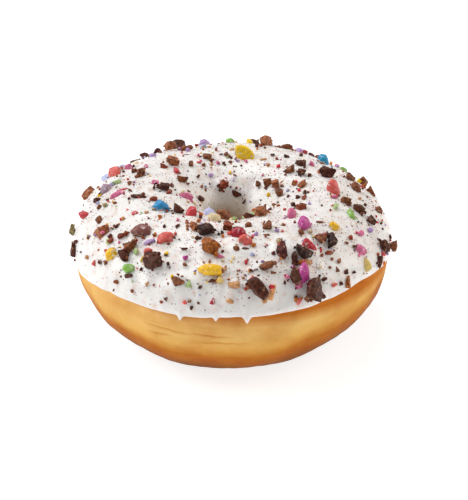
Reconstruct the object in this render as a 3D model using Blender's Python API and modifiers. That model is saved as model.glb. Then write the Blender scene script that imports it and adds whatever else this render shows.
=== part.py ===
"""A ring doughnut: a fried dough ring with a flat foot, and white icing over its top half
that goes down into the hole. Broken chocolate sweets are stuck in the icing.

The ring stands on z = 0 with the hole's axis on Z and its photographed side towards -Y.
Sizes are in millimetres and are turned into metres where a mesh is made.
"""

import math
import random

import bmesh
import bpy
import numpy as np
from mathutils import Matrix, Vector

MM = 0.001
QUARTER = math.pi / 2

# The dough ring
DOUGH_RADIUS = 44.8
DOUGH_HEIGHT = 37.9
EQUATOR_HEIGHT = 21.7
RIDGE_RADIUS = 24.5
FOOT_OUTER_RADIUS = 23.5
FOOT_INNER_RADIUS = 15.5
THROAT_RADIUS = 7.2
THROAT_HEIGHT = 20.0
THROAT_STRETCH = 0.5  # at its throat the hole is this much longer front to back than a circle
TOP_FULLNESS = 1.87  # superellipse power of each quarter of the cross-section, 2 being an ellipse
UNDERSIDE_FULLNESS = 2.0
HOLE_FULLNESS = 2.5
OUTER_ROWS = 5
UNDER_ROWS = 6
BACK_ROWS = 3
HOLE_ROWS = 6
RING_STEPS = 60
DOUGH_COLOUR = (0.66, 0.36, 0.11, 1.0)

# The icing
ICING_THICKNESS = 1.0
ICING_GAP = 0.3  # clear space between the two solids, which touch in the real doughnut
ICING_EDGE_HEIGHT = 24.55
# Waves of the edge as their count round the ring, their rise and where they start, in degrees
ICING_EDGE_WAVES = (
    (1, 0.4, 85.0),
    (2, 0.45, 146.0),
    (3, 0.35, -128.0),
    (5, 0.55, -122.0),
    (7, 0.4, -121.0),
)
ICING_HOLE_EDGE_HEIGHT = 23.5
ICING_HOLE_EDGE_WAVES = ((3, 0.4, 0.0),)
ICING_RIM = 0.03  # how far its rounded edge is drawn in, as a share of its width
ICING_COLOUR = (0.86, 0.85, 0.86, 1.0)

# Where the icing runs down over its edge in a point: bearing in degrees, width and length
DRIPS = ((-106.5, 1.6, 2.6), (-95.0, 1.4, 2.0), (-85.2, 2.0, 3.4), (38.0, 2.0, 3.0), (131.0, 1.8, 2.6))

# The ring's slow unevenness, as shares of its radius and height, and where each wave starts in degrees
OVAL = 0.01
OVAL_START = -160.0
THREE_LOBES = 0.012
THREE_LOBES_START = -57.0
HEIGHT_LEAN = 0.012
LEAN_BEARING = 150.0

# How the ring is seen in the photograph, which places the larger toppings
VIEW_ELEVATION = 29.1
VIEW_DISTANCE = 330.0
VIEW_TARGET_HEIGHT = 20.0
VIEW_PIXELS_PER_MM = 3.51
VIEW_CENTRE = (231.7, 248.2)
GRID_ROUND = 540
GRID_ACROSS = 90
PIXEL_REACH = 1.8  # grid points this near a pixel, in pixels, count as seen at it

# Toppings
SINK = 0.7  # how deep a topping sits in the icing
BELLY = 0.55  # where a topping's base cuts the coarse sphere it starts as, down from its middle
RAGGED = (0.9, 1.14)  # how far its corners are knocked in or out
LUMP_HEIGHT = 0.8  # height as a share of width
SHELL_HEIGHT = 0.55
BIT_HEIGHT = 0.75
EDGE_MARGIN = 0.05  # toppings keep this share of the icing's width clear at each edge
SHAPE_SEED = 20

# Where the photograph can't see, toppings are scattered by a rule, the longest first
SCATTER_SEED = 7
SCATTERED = 26
SCATTER_FACING = -0.06  # they lie where the icing faces the viewer by less than this cosine
SCATTER_TRIES = 6000
SCATTER_LONGEST = 5.6
SCATTER_SHORTEST = 2.3
SCATTER_CLEARANCE = 0.6  # least distance between two pieces' middles, as a share of their lengths' sum
SCATTER_BAND = (0.08, 0.9)  # the part of the icing's width that they lie on
SCATTER_REACH = 46.8  # none stands further out than this from the axis
GOLDEN_TURN = math.pi * (3.0 - math.sqrt(5.0))

# The pieces that stand out in the photograph: where their middle is seen, in its pixels,
# then their length and width, and the turn of the length in the picture, in degrees.
CHOCOLATE_LUMPS = (
    (70, 238, 3.3, 1.9, 85),
    (170, 148, 4.0, 3.5, 0),
    (173, 163, 4.3, 3.2, -35),
    (142, 173, 3.1, 2.7, 90),
    (88, 194, 4.7, 3.3, 75),
    (162, 188, 4.0, 2.7, 0),
    (141, 197, 4.9, 1.6, 10),
    (73, 254, 4.3, 1.7, 85),
    (104, 232, 4.6, 3.2, 5),
    (131, 247, 3.8, 2.8, 30),
    (124, 256, 3.2, 2.8, -45),
    (153, 264, 5.5, 4.3, 0),
    (186, 149, 4.2, 1.9, 0),
    (208, 157, 3.0, 2.3, -50),
    (266, 140, 5.0, 4.3, 70),
    (286, 148, 4.0, 2.5, 0),
    (182, 180, 3.2, 2.6, 20),
    (224, 185, 3.5, 2.8, 0),
    (236, 194, 3.0, 2.4, 0),
    (267, 183, 2.6, 2.4, 30),
    (276, 184, 3.1, 2.8, 90),
    (280, 193, 2.5, 2.3, 0),
    (262, 214, 4.4, 3.4, 80),
    (179, 211, 3.2, 2.9, 90),
    (193, 227, 4.9, 2.6, 95),
    (205, 233, 6.0, 3.9, 0),
    (226, 228, 3.1, 2.5, 90),
    (268, 227, 3.2, 2.9, 70),
    (209, 251, 5.0, 3.9, -25),
    (178, 281, 4.1, 3.0, -10),
    (268, 267, 4.0, 2.6, 10),
    (260, 289, 6.4, 5.6, -55),
    (282, 252, 5.2, 3.0, 85),
    (304, 255, 5.0, 3.8, 0),
    (301, 164, 3.2, 2.4, 0),
    (291, 171, 3.5, 2.7, 0),
    (302, 173, 2.6, 2.5, 0),
    (328, 176, 4.5, 3.9, -60),
    (350, 179, 2.9, 2.6, -20),
    (355, 189, 3.8, 2.7, 0),
    (370, 193, 3.2, 2.6, -50),
    (302, 185, 3.4, 2.1, 85),
    (345, 202, 3.5, 2.8, -20),
    (358, 211, 4.1, 2.9, -60),
    (378, 211, 2.6, 2.3, 0),
    (370, 222, 3.2, 2.6, -30),
    (302, 208, 2.9, 2.6, 0),
    (321, 240, 3.8, 3.3, 20),
    (331, 241, 4.6, 2.7, 85),
    (383, 247, 3.9, 2.6, -75),
    (394, 253, 3.4, 2.5, 90),
    (380, 264, 3.5, 1.9, 80),
    (312, 289, 7.0, 5.2, 65),
    (295, 275, 5.4, 2.6, 80),
)
SUGAR_SHELLS = (
    (115, 174, 4.4, 3.2, 10),
    (106, 190, 3.6, 2.8, 0),
    (118, 195, 4.9, 1.7, 27),
    (86, 215, 2.9, 2.7, 0),
    (160, 207, 4.9, 3.2, 25),
    (112, 255, 4.0, 3.3, 30),
    (130, 268, 3.8, 2.7, 15),
    (144, 231, 6.6, 3.2, 0),
    (163, 239, 4.8, 2.8, 0),
    (203, 139, 3.0, 2.4, 0),
    (243, 155, 6.2, 4.3, -15),
    (250, 143, 3.0, 2.3, 0),
    (229, 138, 3.0, 2.2, 0),
    (185, 197, 4.5, 2.4, 10),
    (190, 214, 3.3, 3.0, 60),
    (215, 215, 4.0, 2.2, 0),
    (239, 235, 4.5, 3.2, 20),
    (247, 242, 3.6, 3.3, 0),
    (209, 272, 6.2, 3.6, -5),
    (299, 148, 2.9, 2.2, 0),
    (323, 162, 4.1, 3.7, -10),
    (333, 190, 4.1, 3.3, -50),
    (350, 214, 4.0, 2.2, 90),
    (293, 217, 3.1, 2.7, 90),
    (305, 226, 4.6, 3.5, 70),
    (333, 227, 3.4, 2.2, -30),
    (311, 246, 5.0, 1.9, -30),
    (360, 250, 4.0, 2.3, -25),
    (366, 264, 4.2, 2.1, 88),
    (303, 273, 5.4, 3.4, -80),
)
SMALL_BITS = (
    (153, 155, 2.3, 1.5, 0),
    (165, 167, 2.3, 1.7, 0),
    (129, 168, 2.6, 2.3, 0),
    (116, 182, 3.4, 1.5, 0),
    (97, 200, 2.8, 2.0, 0),
    (154, 183, 2.3, 1.7, 0),
    (151, 200, 2.8, 1.5, 0),
    (100, 220, 2.3, 1.7, 90),
    (97, 231, 2.5, 1.7, 0),
    (123, 235, 2.3, 1.7, 0),
    (112, 240, 2.3, 2.0, 90),
    (136, 251, 2.3, 1.7, 90),
    (149, 251, 2.6, 2.0, 0),
    (200, 199, 2.3, 1.7, 0),
    (177, 171, 2.3, 1.7, 90),
    (249, 226, 2.3, 1.8, -30),
    (219, 281, 2.3, 1.9, 90),
    (189, 284, 2.3, 1.7, 90),
    (234, 285, 3.1, 2.0, 0),
    (267, 293, 3.6, 1.4, 75),
    (322, 172, 2.8, 1.4, 10),
    (336, 207, 2.3, 2.0, 60),
    (305, 197, 2.6, 1.4, 80),
    (329, 252, 2.3, 1.4, 0),
    (361, 233, 2.3, 1.7, 0),
    (363, 253, 2.2, 2.0, 60),
    (294, 258, 2.8, 2.2, 80),
    (308, 262, 2.6, 1.7, 20),
    (299, 285, 2.6, 1.4, 15),
    (349, 287, 3.4, 1.7, 75),
)


def material(name, colour, roughness):
    """A plain surface of one colour."""
    made = bpy.data.materials.new(name)
    made.use_nodes = True
    shader = made.node_tree.nodes["Principled BSDF"]
    shader.inputs["Base Color"].default_value = colour
    shader.inputs["Roughness"].default_value = roughness
    made.diffuse_color = colour
    return made


def new_collection(name):
    """A collection linked under the scene."""
    made = bpy.data.collections.new(name)
    bpy.context.scene.collection.children.link(made)
    return made


def quarter_point(centre, reach, power, turn):
    """A point of a quarter of a superellipse, which runs from its side at turn 0 to its top or bottom."""
    across = reach[0] * max(math.cos(turn), 0.0) ** (2 / power)
    along = reach[1] * max(math.sin(turn), 0.0) ** (2 / power)
    return centre[0] + across, centre[1] + along


def flank_point(turn):
    """The dough's cross-section from its equator, turn 0, up its outer side to the ridge."""
    reach = (DOUGH_RADIUS - RIDGE_RADIUS, DOUGH_HEIGHT - EQUATOR_HEIGHT)
    return quarter_point((RIDGE_RADIUS, EQUATOR_HEIGHT), reach, TOP_FULLNESS, turn)


def hole_point(turn):
    """The dough's cross-section from the hole's throat, turn 0, up to the ridge."""
    reach = (THROAT_RADIUS - RIDGE_RADIUS, DOUGH_HEIGHT - THROAT_HEIGHT)
    return quarter_point((RIDGE_RADIUS, THROAT_HEIGHT), reach, HOLE_FULLNESS, turn)


def turn_at_height(height, low, high, power):
    """The turn at which a quarter that rises from low to high reaches a height."""
    share = min(max((height - low) / (high - low), 0.0), 1.0)
    return math.asin(share ** (power / 2))


def skin_point(side, turn, lift):
    """A point of the dough's upper half, lifted off it by so much along its outward normal."""
    point_at = flank_point if side == "flank" else hole_point
    step = 0.01
    low, high = max(turn - step, 0.001), min(turn + step, QUARTER)
    before, after = Vector(point_at(low)), Vector(point_at(high))
    along = (after - before).normalized()
    normal = Vector((along.y, -along.x)) if side == "flank" else Vector((-along.y, along.x))
    return Vector(point_at(turn)) + normal * lift


def uneven(radius, bearing, height):
    """Where a point of the even ring comes to lie on the real one, which isn't quite round or level."""
    two = OVAL * math.cos(2 * bearing + math.radians(OVAL_START))
    three = THREE_LOBES * math.cos(3 * bearing + math.radians(THREE_LOBES_START))
    swell = 1.0 + two + three
    rise = 1.0 + HEIGHT_LEAN * math.cos(bearing - math.radians(LEAN_BEARING))
    inward = min(max((RIDGE_RADIUS - radius) / (RIDGE_RADIUS - THROAT_RADIUS), 0.0), 1.0)
    stretch = -THROAT_STRETCH * math.cos(2 * bearing) * inward**2
    return radius * swell + stretch, height * rise


def place(profile_point, bearing):
    """A cross-section's point, in millimetres, as a point of the uneven ring in metres."""
    radius, height = uneven(profile_point[0], bearing, profile_point[1])
    return Vector((radius * math.cos(bearing), radius * math.sin(bearing), height)) * MM


def wavy(height, waves, bearing):
    """A height that rises and falls round the ring."""
    rises = [rise * math.cos(count * bearing + math.radians(start)) for count, rise, start in waves]
    return height + sum(rises)


def icing_skin(share, bearing, lift):
    """A point above the dough: share 0 is at the icing's outer edge and share 1 at its edge in the hole."""
    if share <= 0.5:
        edge = wavy(ICING_EDGE_HEIGHT, ICING_EDGE_WAVES, bearing)
        start = turn_at_height(edge, EQUATOR_HEIGHT, DOUGH_HEIGHT, TOP_FULLNESS)
        return skin_point("flank", start + (QUARTER - start) * share * 2, lift)
    edge = wavy(ICING_HOLE_EDGE_HEIGHT, ICING_HOLE_EDGE_WAVES, bearing)
    start = turn_at_height(edge, THROAT_HEIGHT, DOUGH_HEIGHT, HOLE_FULLNESS)
    return skin_point("hole", start + (QUARTER - start) * (1 - share) * 2, lift)


def turned(name, outline, home):
    """A closed outline of (radius, height) points, run downwards outside, turned by a Screw modifier."""
    mesh = bpy.data.meshes.new(name)
    shape = bmesh.new()
    points = [shape.verts.new((radius * MM, 0.0, height * MM)) for radius, height in outline]
    for start, end in zip(points, points[1:] + points[:1]):
        shape.edges.new((start, end))
    shape.to_mesh(mesh)
    shape.free()
    made = bpy.data.objects.new(name, mesh)
    home.objects.link(made)
    screw = made.modifiers.new("turn", "SCREW")
    screw.axis = "Z"
    screw.steps = RING_STEPS
    screw.render_steps = RING_STEPS
    screw.use_merge_vertices = True
    screw.merge_threshold = 0.00001
    return made


def apply_modifiers(made):
    """Keeps the mesh that an object's modifiers give, in place of the modifiers."""
    bpy.context.view_layer.update()
    finished = bpy.data.meshes.new_from_object(made.evaluated_get(bpy.context.evaluated_depsgraph_get()))
    finished.name = made.name
    made.modifiers.clear()
    made.data = finished


def finish(made, surface, smooth_limit):
    """Gives an object its material and smooth shading with sharp creases."""
    made.data.materials.clear()
    made.data.materials.append(surface)
    made.data.shade_smooth()
    made.data.set_sharp_from_angle(angle=math.radians(smooth_limit))


def dough_outline():
    """The dough's cross-section: from the ridge down outside, under the foot and up through the hole."""
    outline = [flank_point(QUARTER * (1 - row / OUTER_ROWS)) for row in range(OUTER_ROWS)]
    under = (DOUGH_RADIUS - FOOT_OUTER_RADIUS, -EQUATOR_HEIGHT)
    for row in range(UNDER_ROWS + 1):
        turn = QUARTER * row / UNDER_ROWS
        outline.append(quarter_point((FOOT_OUTER_RADIUS, EQUATOR_HEIGHT), under, UNDERSIDE_FULLNESS, turn))
    inside = (THROAT_RADIUS - FOOT_INNER_RADIUS, -THROAT_HEIGHT)
    for row in range(BACK_ROWS):
        turn = QUARTER * (1 - row / BACK_ROWS)
        outline.append(quarter_point((FOOT_INNER_RADIUS, THROAT_HEIGHT), inside, UNDERSIDE_FULLNESS, turn))
    outline += [hole_point(QUARTER * row / HOLE_ROWS) for row in range(HOLE_ROWS)]
    return outline


def build_dough(home):
    """The fried ring, turned from its cross-section and then made a little uneven."""
    dough = turned("dough", dough_outline(), home)
    apply_modifiers(dough)
    for vertex in dough.data.vertices:
        radius, height = math.hypot(vertex.co.x, vertex.co.y) / MM, vertex.co.z / MM
        vertex.co = place((radius, height), math.atan2(vertex.co.y, vertex.co.x))
    finish(dough, material("fried dough", DOUGH_COLOUR, 0.55), 40)
    return dough


def icing_rows():
    """The icing's cross-section as (share, lift) rows: over the skin from the hole, then back under it."""
    shares = [0.5 + 0.5 * row / HOLE_ROWS for row in range(HOLE_ROWS, 0, -1)]
    shares += [0.5 * row / OUTER_ROWS for row in range(OUTER_ROWS, -1, -1)]
    skin = [(min(max(share, ICING_RIM), 1 - ICING_RIM), ICING_GAP + ICING_THICKNESS) for share in shares]
    edge_lift = ICING_GAP + ICING_THICKNESS / 2
    under = [(share, ICING_GAP) for share in reversed(shares)]
    return skin + [(0.0, edge_lift)] + under + [(1.0, edge_lift)]


def build_icing(home):
    """The icing's shell: an even ring, whose rows then follow the uneven dough and the wavy edges."""
    rows = icing_rows()
    outline = [tuple(icing_skin(share, 0.0, lift)) for share, lift in rows]
    icing = turned("icing", outline, home)
    apply_modifiers(icing)
    for vertex in icing.data.vertices:
        bearing = math.atan2(vertex.co.y, vertex.co.x)
        at = (math.hypot(vertex.co.x, vertex.co.y) / MM, vertex.co.z / MM)
        share, lift = rows[int(np.hypot(*(np.array(outline) - at).T).argmin())]
        vertex.co = place(icing_skin(share, bearing, lift), bearing)
    return icing


def icing_top(share, bearing):
    """A point on the icing's outer skin."""
    return place(icing_skin(share, bearing, ICING_GAP + ICING_THICKNESS), bearing)


def ground_at(share, bearing):
    """A point on the icing and the directions there: along the ring, across it and straight out."""
    nudge = 0.004
    at = icing_top(share, bearing)
    along = (icing_top(share, bearing + nudge) - at).normalized()
    out = along.cross(icing_top(share + nudge, bearing) - at).normalized()
    return at, along, out.cross(along), out


def seen_in_photo(point):
    """The photograph's pixel at which a point shows, and the point's distance along the line of sight."""
    tilt = math.radians(VIEW_ELEVATION)
    rise = point.z / MM - VIEW_TARGET_HEIGHT
    depth = VIEW_DISTANCE + point.y / MM * math.cos(tilt) - rise * math.sin(tilt)
    scale = VIEW_PIXELS_PER_MM * VIEW_DISTANCE / depth
    up = point.y / MM * math.sin(tilt) + rise * math.cos(tilt)
    return VIEW_CENTRE[0] + scale * point.x / MM, VIEW_CENTRE[1] - scale * up, depth


def skin_in_photo():
    """A grid over the icing as rows of (share, bearing, pixel x, pixel y, depth)."""
    shares = [row / GRID_ACROSS for row in range(GRID_ACROSS + 1)]
    bearings = [math.tau * column / GRID_ROUND for column in range(GRID_ROUND)]
    spots = [(share, bearing) for share in shares for bearing in bearings]
    return np.array([(*spot, *seen_in_photo(icing_top(*spot))) for spot in spots])


def seen_at(pixel_x, pixel_y, skin):
    """The (share, bearing) on the icing that the photograph shows at a pixel, or the nearest to it."""
    apart = np.hypot(skin[:, 2] - pixel_x, skin[:, 3] - pixel_y)
    near = np.flatnonzero(apart < max(apart.min() * 1.01, PIXEL_REACH))
    front = near[skin[near, 4].argmin()]
    return min(max(skin[front, 0], EDGE_MARGIN), 1 - EDGE_MARGIN), skin[front, 1]


def turned_as_seen(along, out, degrees):
    """The direction on the icing that the photograph shows at an angle from its horizontal."""
    tilt = math.radians(VIEW_ELEVATION)
    angle = math.radians(degrees)
    wanted = Vector((math.cos(angle), math.sin(angle) * math.sin(tilt), math.sin(angle) * math.cos(tilt)))
    flat = wanted - out * wanted.dot(out)
    return flat.normalized() if flat.length > 0.1 else along


def add_lump(name, corner_at, home):
    """A coarse sphere, each of whose corners is put where a rule says."""
    shape = bmesh.new()
    bmesh.ops.create_icosphere(shape, subdivisions=1, radius=1.0)
    for corner in shape.verts:
        corner.co = corner_at(corner.co.copy())
    mesh = bpy.data.meshes.new(name)
    shape.to_mesh(mesh)
    shape.free()
    home.objects.link(bpy.data.objects.new(name, mesh))


def add_topping(name, at, long_way, out, size, draw, home):
    """A broken piece with knocked corners, whose flat underside is a little way into the icing."""
    length, width, height = size
    side = out.cross(long_way)
    spin = Matrix.Rotation(draw.uniform(0, math.tau), 3, "Z")

    def corner_at(corner):
        point = spin @ corner * draw.uniform(*RAGGED)
        up = max(-SINK, (point.z + BELLY) / (1 + BELLY) * height)
        return at + (long_way * (point.x * length / 2) + side * (point.y * width / 2) + out * up) * MM

    add_lump(name, corner_at, home)


def add_seen_toppings(draw, home):
    """The pieces that stand out in the photograph. Returns where they are and how long."""
    taken = []
    skin = skin_in_photo()
    kinds = (
        ("lump", CHOCOLATE_LUMPS, LUMP_HEIGHT),
        ("shell", SUGAR_SHELLS, SHELL_HEIGHT),
        ("bit", SMALL_BITS, BIT_HEIGHT),
    )
    for kind, rows, tallness in kinds:
        for number, (pixel_x, pixel_y, length, width, degrees) in enumerate(rows):
            at, along, _, out = ground_at(*seen_at(pixel_x, pixel_y, skin))
            long_way = turned_as_seen(along, out, degrees)
            size = (length, width, width * tallness)
            add_topping(f"{kind}_{number}", at, long_way, out, size, draw, home)
            taken.append((at, length))
    return taken


def scattered_places(taken):
    """Toppings out of the photograph's sight: each one's place, long and outward ways, length and width."""
    draw = random.Random(SCATTER_SEED)
    tilt = math.radians(VIEW_ELEVATION)
    viewer = Vector((0.0, -math.cos(tilt), math.sin(tilt)))
    places = []
    for number in range(SCATTER_TRIES):
        shrinking = (1 - number / SCATTER_TRIES) ** 4
        extra = (SCATTER_LONGEST - SCATTER_SHORTEST) * shrinking * draw.uniform(0.8, 1.0)
        length = SCATTER_SHORTEST + extra
        width = length * draw.uniform(0.62, 0.95)
        share = draw.uniform(*SCATTER_BAND)
        angle = draw.uniform(0, math.tau)
        at, along, across, out = ground_at(share, number * GOLDEN_TURN % math.tau)
        from_axis = math.hypot(at.x, at.y) / MM
        clear = SCATTER_CLEARANCE * MM
        crowded = any((at - other).length < (length + size) * clear for other, size in taken)
        even_out = draw.random() < from_axis / DOUGH_RADIUS
        hidden = out.dot(viewer) < SCATTER_FACING
        if hidden and even_out and not crowded and from_axis + length * 0.4 < SCATTER_REACH:
            places.append((at, along * math.cos(angle) + across * math.sin(angle), out, length, width))
            taken.append((at, length))
        if len(places) == SCATTERED:
            break
    return places


def add_drips(home):
    """The few places where the icing runs down over its edge in a small point."""
    for number, (degrees, width, length) in enumerate(DRIPS):
        bearing = math.radians(degrees)
        at = place(icing_skin(0.0, bearing, ICING_GAP + ICING_THICKNESS / 2), bearing)
        out = Vector((math.cos(bearing), math.sin(bearing), 0.0))
        side = out.cross(Vector((0.0, 0.0, 1.0)))

        def corner_at(corner):
            narrowing = 1 + min(corner.z, 0) / 2
            across = side * (corner.x * width / 2) + out * (corner.y * ICING_THICKNESS / 2)
            return at + (across * narrowing + Vector((0.0, 0.0, corner.z * length / 2))) * MM

        add_lump(f"drip_{number}", corner_at, home)


def join_toppings(icing, toppings):
    """Fuses the toppings and drips to the icing as one solid, and removes the loose ones."""
    union = icing.modifiers.new("fuse toppings", "BOOLEAN")
    union.operation = "UNION"
    union.operand_type = "COLLECTION"
    union.collection = toppings
    union.solver = "MANIFOLD"
    apply_modifiers(icing)
    for piece in list(toppings.objects):
        bpy.data.objects.remove(piece)
    bpy.data.collections.remove(toppings)


def main():
    """Builds the doughnut."""
    for old in list(bpy.data.objects):
        bpy.data.objects.remove(old)
    home = new_collection("ring doughnut")
    toppings = new_collection("toppings")
    build_dough(home)
    icing = build_icing(home)
    draw = random.Random(SHAPE_SEED)
    taken = add_seen_toppings(draw, toppings)
    for number, (at, long_way, out, length, width) in enumerate(scattered_places(taken)):
        size = (length, width, width * LUMP_HEIGHT)
        add_topping(f"scattered_{number}", at, long_way, out, size, draw, toppings)
    add_drips(toppings)
    join_toppings(icing, toppings)
    finish(icing, material("white icing", ICING_COLOUR, 0.35), 40)


main()
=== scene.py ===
"""The looks of a fried ring doughnut: white set icing over its top half, broken chocolate sweets stuck in it.

Every shape is worked out in millimetres on the ring's own two parameters, the share of the way across
the icing and the bearing round the hole, and turned into metres where its mesh is made.
"""

import logging
import math
import random
from dataclasses import dataclass
from enum import Enum
from typing import NamedTuple

import bpy
import numpy as np
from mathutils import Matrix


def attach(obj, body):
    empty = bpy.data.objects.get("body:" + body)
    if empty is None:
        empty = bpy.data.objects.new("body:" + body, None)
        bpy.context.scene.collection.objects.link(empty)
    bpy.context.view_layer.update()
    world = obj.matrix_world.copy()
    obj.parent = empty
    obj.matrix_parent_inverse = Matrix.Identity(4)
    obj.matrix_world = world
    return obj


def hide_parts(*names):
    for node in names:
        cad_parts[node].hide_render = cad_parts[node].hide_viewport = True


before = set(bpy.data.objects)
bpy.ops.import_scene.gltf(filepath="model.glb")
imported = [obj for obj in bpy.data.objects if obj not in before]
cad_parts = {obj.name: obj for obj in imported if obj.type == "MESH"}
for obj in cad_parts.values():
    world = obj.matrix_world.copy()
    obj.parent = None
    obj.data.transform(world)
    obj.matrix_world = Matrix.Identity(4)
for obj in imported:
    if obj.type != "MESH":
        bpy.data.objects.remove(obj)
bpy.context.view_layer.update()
LOG = logging.getLogger("doughnut")

MM = 0.001
QUARTER = math.pi / 2
TURN = math.tau
GOLDEN_TURN = math.pi * (3.0 - math.sqrt(5.0))
# The lengths of a ripple's waves, as shares of its wavelength
RIPPLE_SPREAD = (0.7, 1.5)
# How far apart the sweets of a kind are in the ripples' space, so that no two have the same surface
RIPPLE_APART = 7.0

Array = np.ndarray
Colour = tuple[float, float, float, float]


class Tint(Enum):
    """Colours of the sweets, as sRGB hex values."""

    MILK = "#B16942"
    BROWN = "#8F5231"
    DARK = "#5C2D1C"
    BLACK = "#3E1F17"
    MAROON = "#5E2A24"
    RUST = "#9C4528"
    CARAMEL = "#B46424"
    TAN = "#CF9560"
    WAFER = "#E9D2A6"
    OLIVE = "#9C8C5C"
    ORANGE = "#E0793A"
    PEACH = "#EFA96C"
    CORAL = "#E4645A"
    RED = "#D23A44"
    CRIMSON = "#B21E34"
    PINK = "#E0709A"
    MAGENTA = "#C8489A"
    LILAC = "#B898CE"
    LAVENDER = "#BCC0E2"
    MAUVE = "#A98C9E"
    COCOA = "#8A5048"
    BLUE = "#1C92D0"
    TEAL = "#0E97C4"
    GREEN = "#8CBF50"
    PALE_GREEN = "#B4CC8A"
    YELLOW = "#FFC814"
    # A paler, more lemon copy of YELLOW for the shards at the back: partly their own hue, partly painted
    # light on faces that the lights leave in shade
    YELLOW_WITH_PAINTED_LIGHT = "#FFD41A"
    GOLD = "#E6C870"
    SUGAR = "#F6EEE8"


def linear(colour: str) -> Colour:
    """Turns an sRGB hex value into a linear colour.

    Args:
        colour: The colour as "#RRGGBB".

    Returns:
        Red, green, blue and an alpha of 1.
    """
    parts = [int(colour[start : start + 2], 16) / 255 for start in (1, 3, 5)]
    red, green, blue = (p / 12.92 if p <= 0.04045 else ((p + 0.055) / 1.055) ** 2.4 for p in parts)
    return red, green, blue, 1.0


class Seen(NamedTuple):
    """A sweet as the photograph shows it: its middle in pixels, its size in mm and its turn in degrees."""

    pixel_x: float
    pixel_y: float
    length: float
    width: float
    degrees: float
    tint: Tint


CHOCOLATE_LUMPS = (
    Seen(70, 238, 3.3, 1.9, 85, Tint.OLIVE),
    Seen(170, 148, 4.0, 3.5, 0, Tint.MILK),
    Seen(173, 163, 4.3, 3.2, -35, Tint.MILK),
    Seen(142, 173, 3.1, 2.7, 90, Tint.BROWN),
    Seen(88, 194, 4.7, 3.3, 75, Tint.MILK),
    Seen(162, 188, 4.0, 2.7, 0, Tint.DARK),
    Seen(141, 197, 4.9, 1.6, 10, Tint.DARK),
    Seen(73, 254, 4.3, 1.7, 85, Tint.DARK),
    Seen(104, 232, 4.6, 3.2, 5, Tint.MILK),
    Seen(131, 247, 3.8, 2.8, 30, Tint.BROWN),
    Seen(124, 256, 3.2, 2.8, -45, Tint.DARK),
    Seen(153, 264, 5.5, 4.3, 0, Tint.DARK),
    Seen(186, 149, 4.2, 1.9, 0, Tint.BROWN),
    Seen(208, 157, 3.0, 2.3, -50, Tint.BROWN),
    Seen(266, 140, 5.0, 4.3, 70, Tint.MILK),
    Seen(286, 148, 4.0, 2.5, 0, Tint.BROWN),
    Seen(182, 180, 3.2, 2.6, 20, Tint.BROWN),
    Seen(224, 185, 3.5, 2.8, 0, Tint.RUST),
    Seen(236, 194, 3.0, 2.4, 0, Tint.DARK),
    Seen(267, 183, 2.6, 2.4, 30, Tint.BROWN),
    Seen(276, 184, 3.1, 2.8, 90, Tint.MILK),
    Seen(280, 193, 2.5, 2.3, 0, Tint.BROWN),
    Seen(262, 214, 4.4, 3.4, 80, Tint.MILK),
    Seen(179, 211, 3.2, 2.9, 90, Tint.DARK),
    Seen(193, 227, 4.9, 2.6, 95, Tint.MILK),
    Seen(205, 233, 6.0, 3.9, 0, Tint.BLACK),
    Seen(226, 228, 3.1, 2.5, 90, Tint.RUST),
    Seen(268, 227, 3.2, 2.9, 70, Tint.BROWN),
    Seen(209, 251, 5.0, 3.9, -25, Tint.CARAMEL),
    Seen(178, 281, 4.1, 3.0, -10, Tint.BROWN),
    Seen(268, 267, 4.0, 2.6, 10, Tint.BROWN),
    Seen(260, 289, 6.4, 5.6, -75, Tint.DARK),
    Seen(282, 252, 5.2, 3.0, 85, Tint.MAROON),
    Seen(304, 255, 5.0, 3.8, 0, Tint.BLACK),
    Seen(301, 164, 3.2, 2.4, 0, Tint.DARK),
    Seen(291, 171, 3.5, 2.7, 0, Tint.BROWN),
    Seen(302, 173, 2.6, 2.5, 0, Tint.DARK),
    Seen(328, 176, 4.5, 3.9, -60, Tint.DARK),
    Seen(350, 179, 2.9, 2.6, -20, Tint.BROWN),
    Seen(355, 189, 3.8, 2.7, 0, Tint.BROWN),
    Seen(370, 193, 3.2, 2.6, -50, Tint.BROWN),
    Seen(302, 185, 3.4, 2.1, 85, Tint.MILK),
    Seen(345, 202, 3.5, 2.8, -20, Tint.BROWN),
    Seen(358, 211, 4.1, 2.9, -60, Tint.DARK),
    Seen(378, 211, 2.6, 2.3, 0, Tint.BROWN),
    Seen(370, 222, 3.2, 2.6, -30, Tint.DARK),
    Seen(302, 208, 2.9, 2.6, 0, Tint.RUST),
    Seen(321, 240, 3.8, 3.3, 20, Tint.BROWN),
    Seen(331, 241, 4.6, 2.7, 85, Tint.BLACK),
    Seen(383, 247, 3.9, 2.6, -75, Tint.DARK),
    Seen(394, 253, 3.4, 2.5, 90, Tint.BROWN),
    Seen(380, 264, 3.5, 1.9, 80, Tint.DARK),
    Seen(312, 289, 7.0, 5.2, 65, Tint.DARK),
    Seen(295, 275, 5.4, 2.6, 80, Tint.DARK),
)
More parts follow.
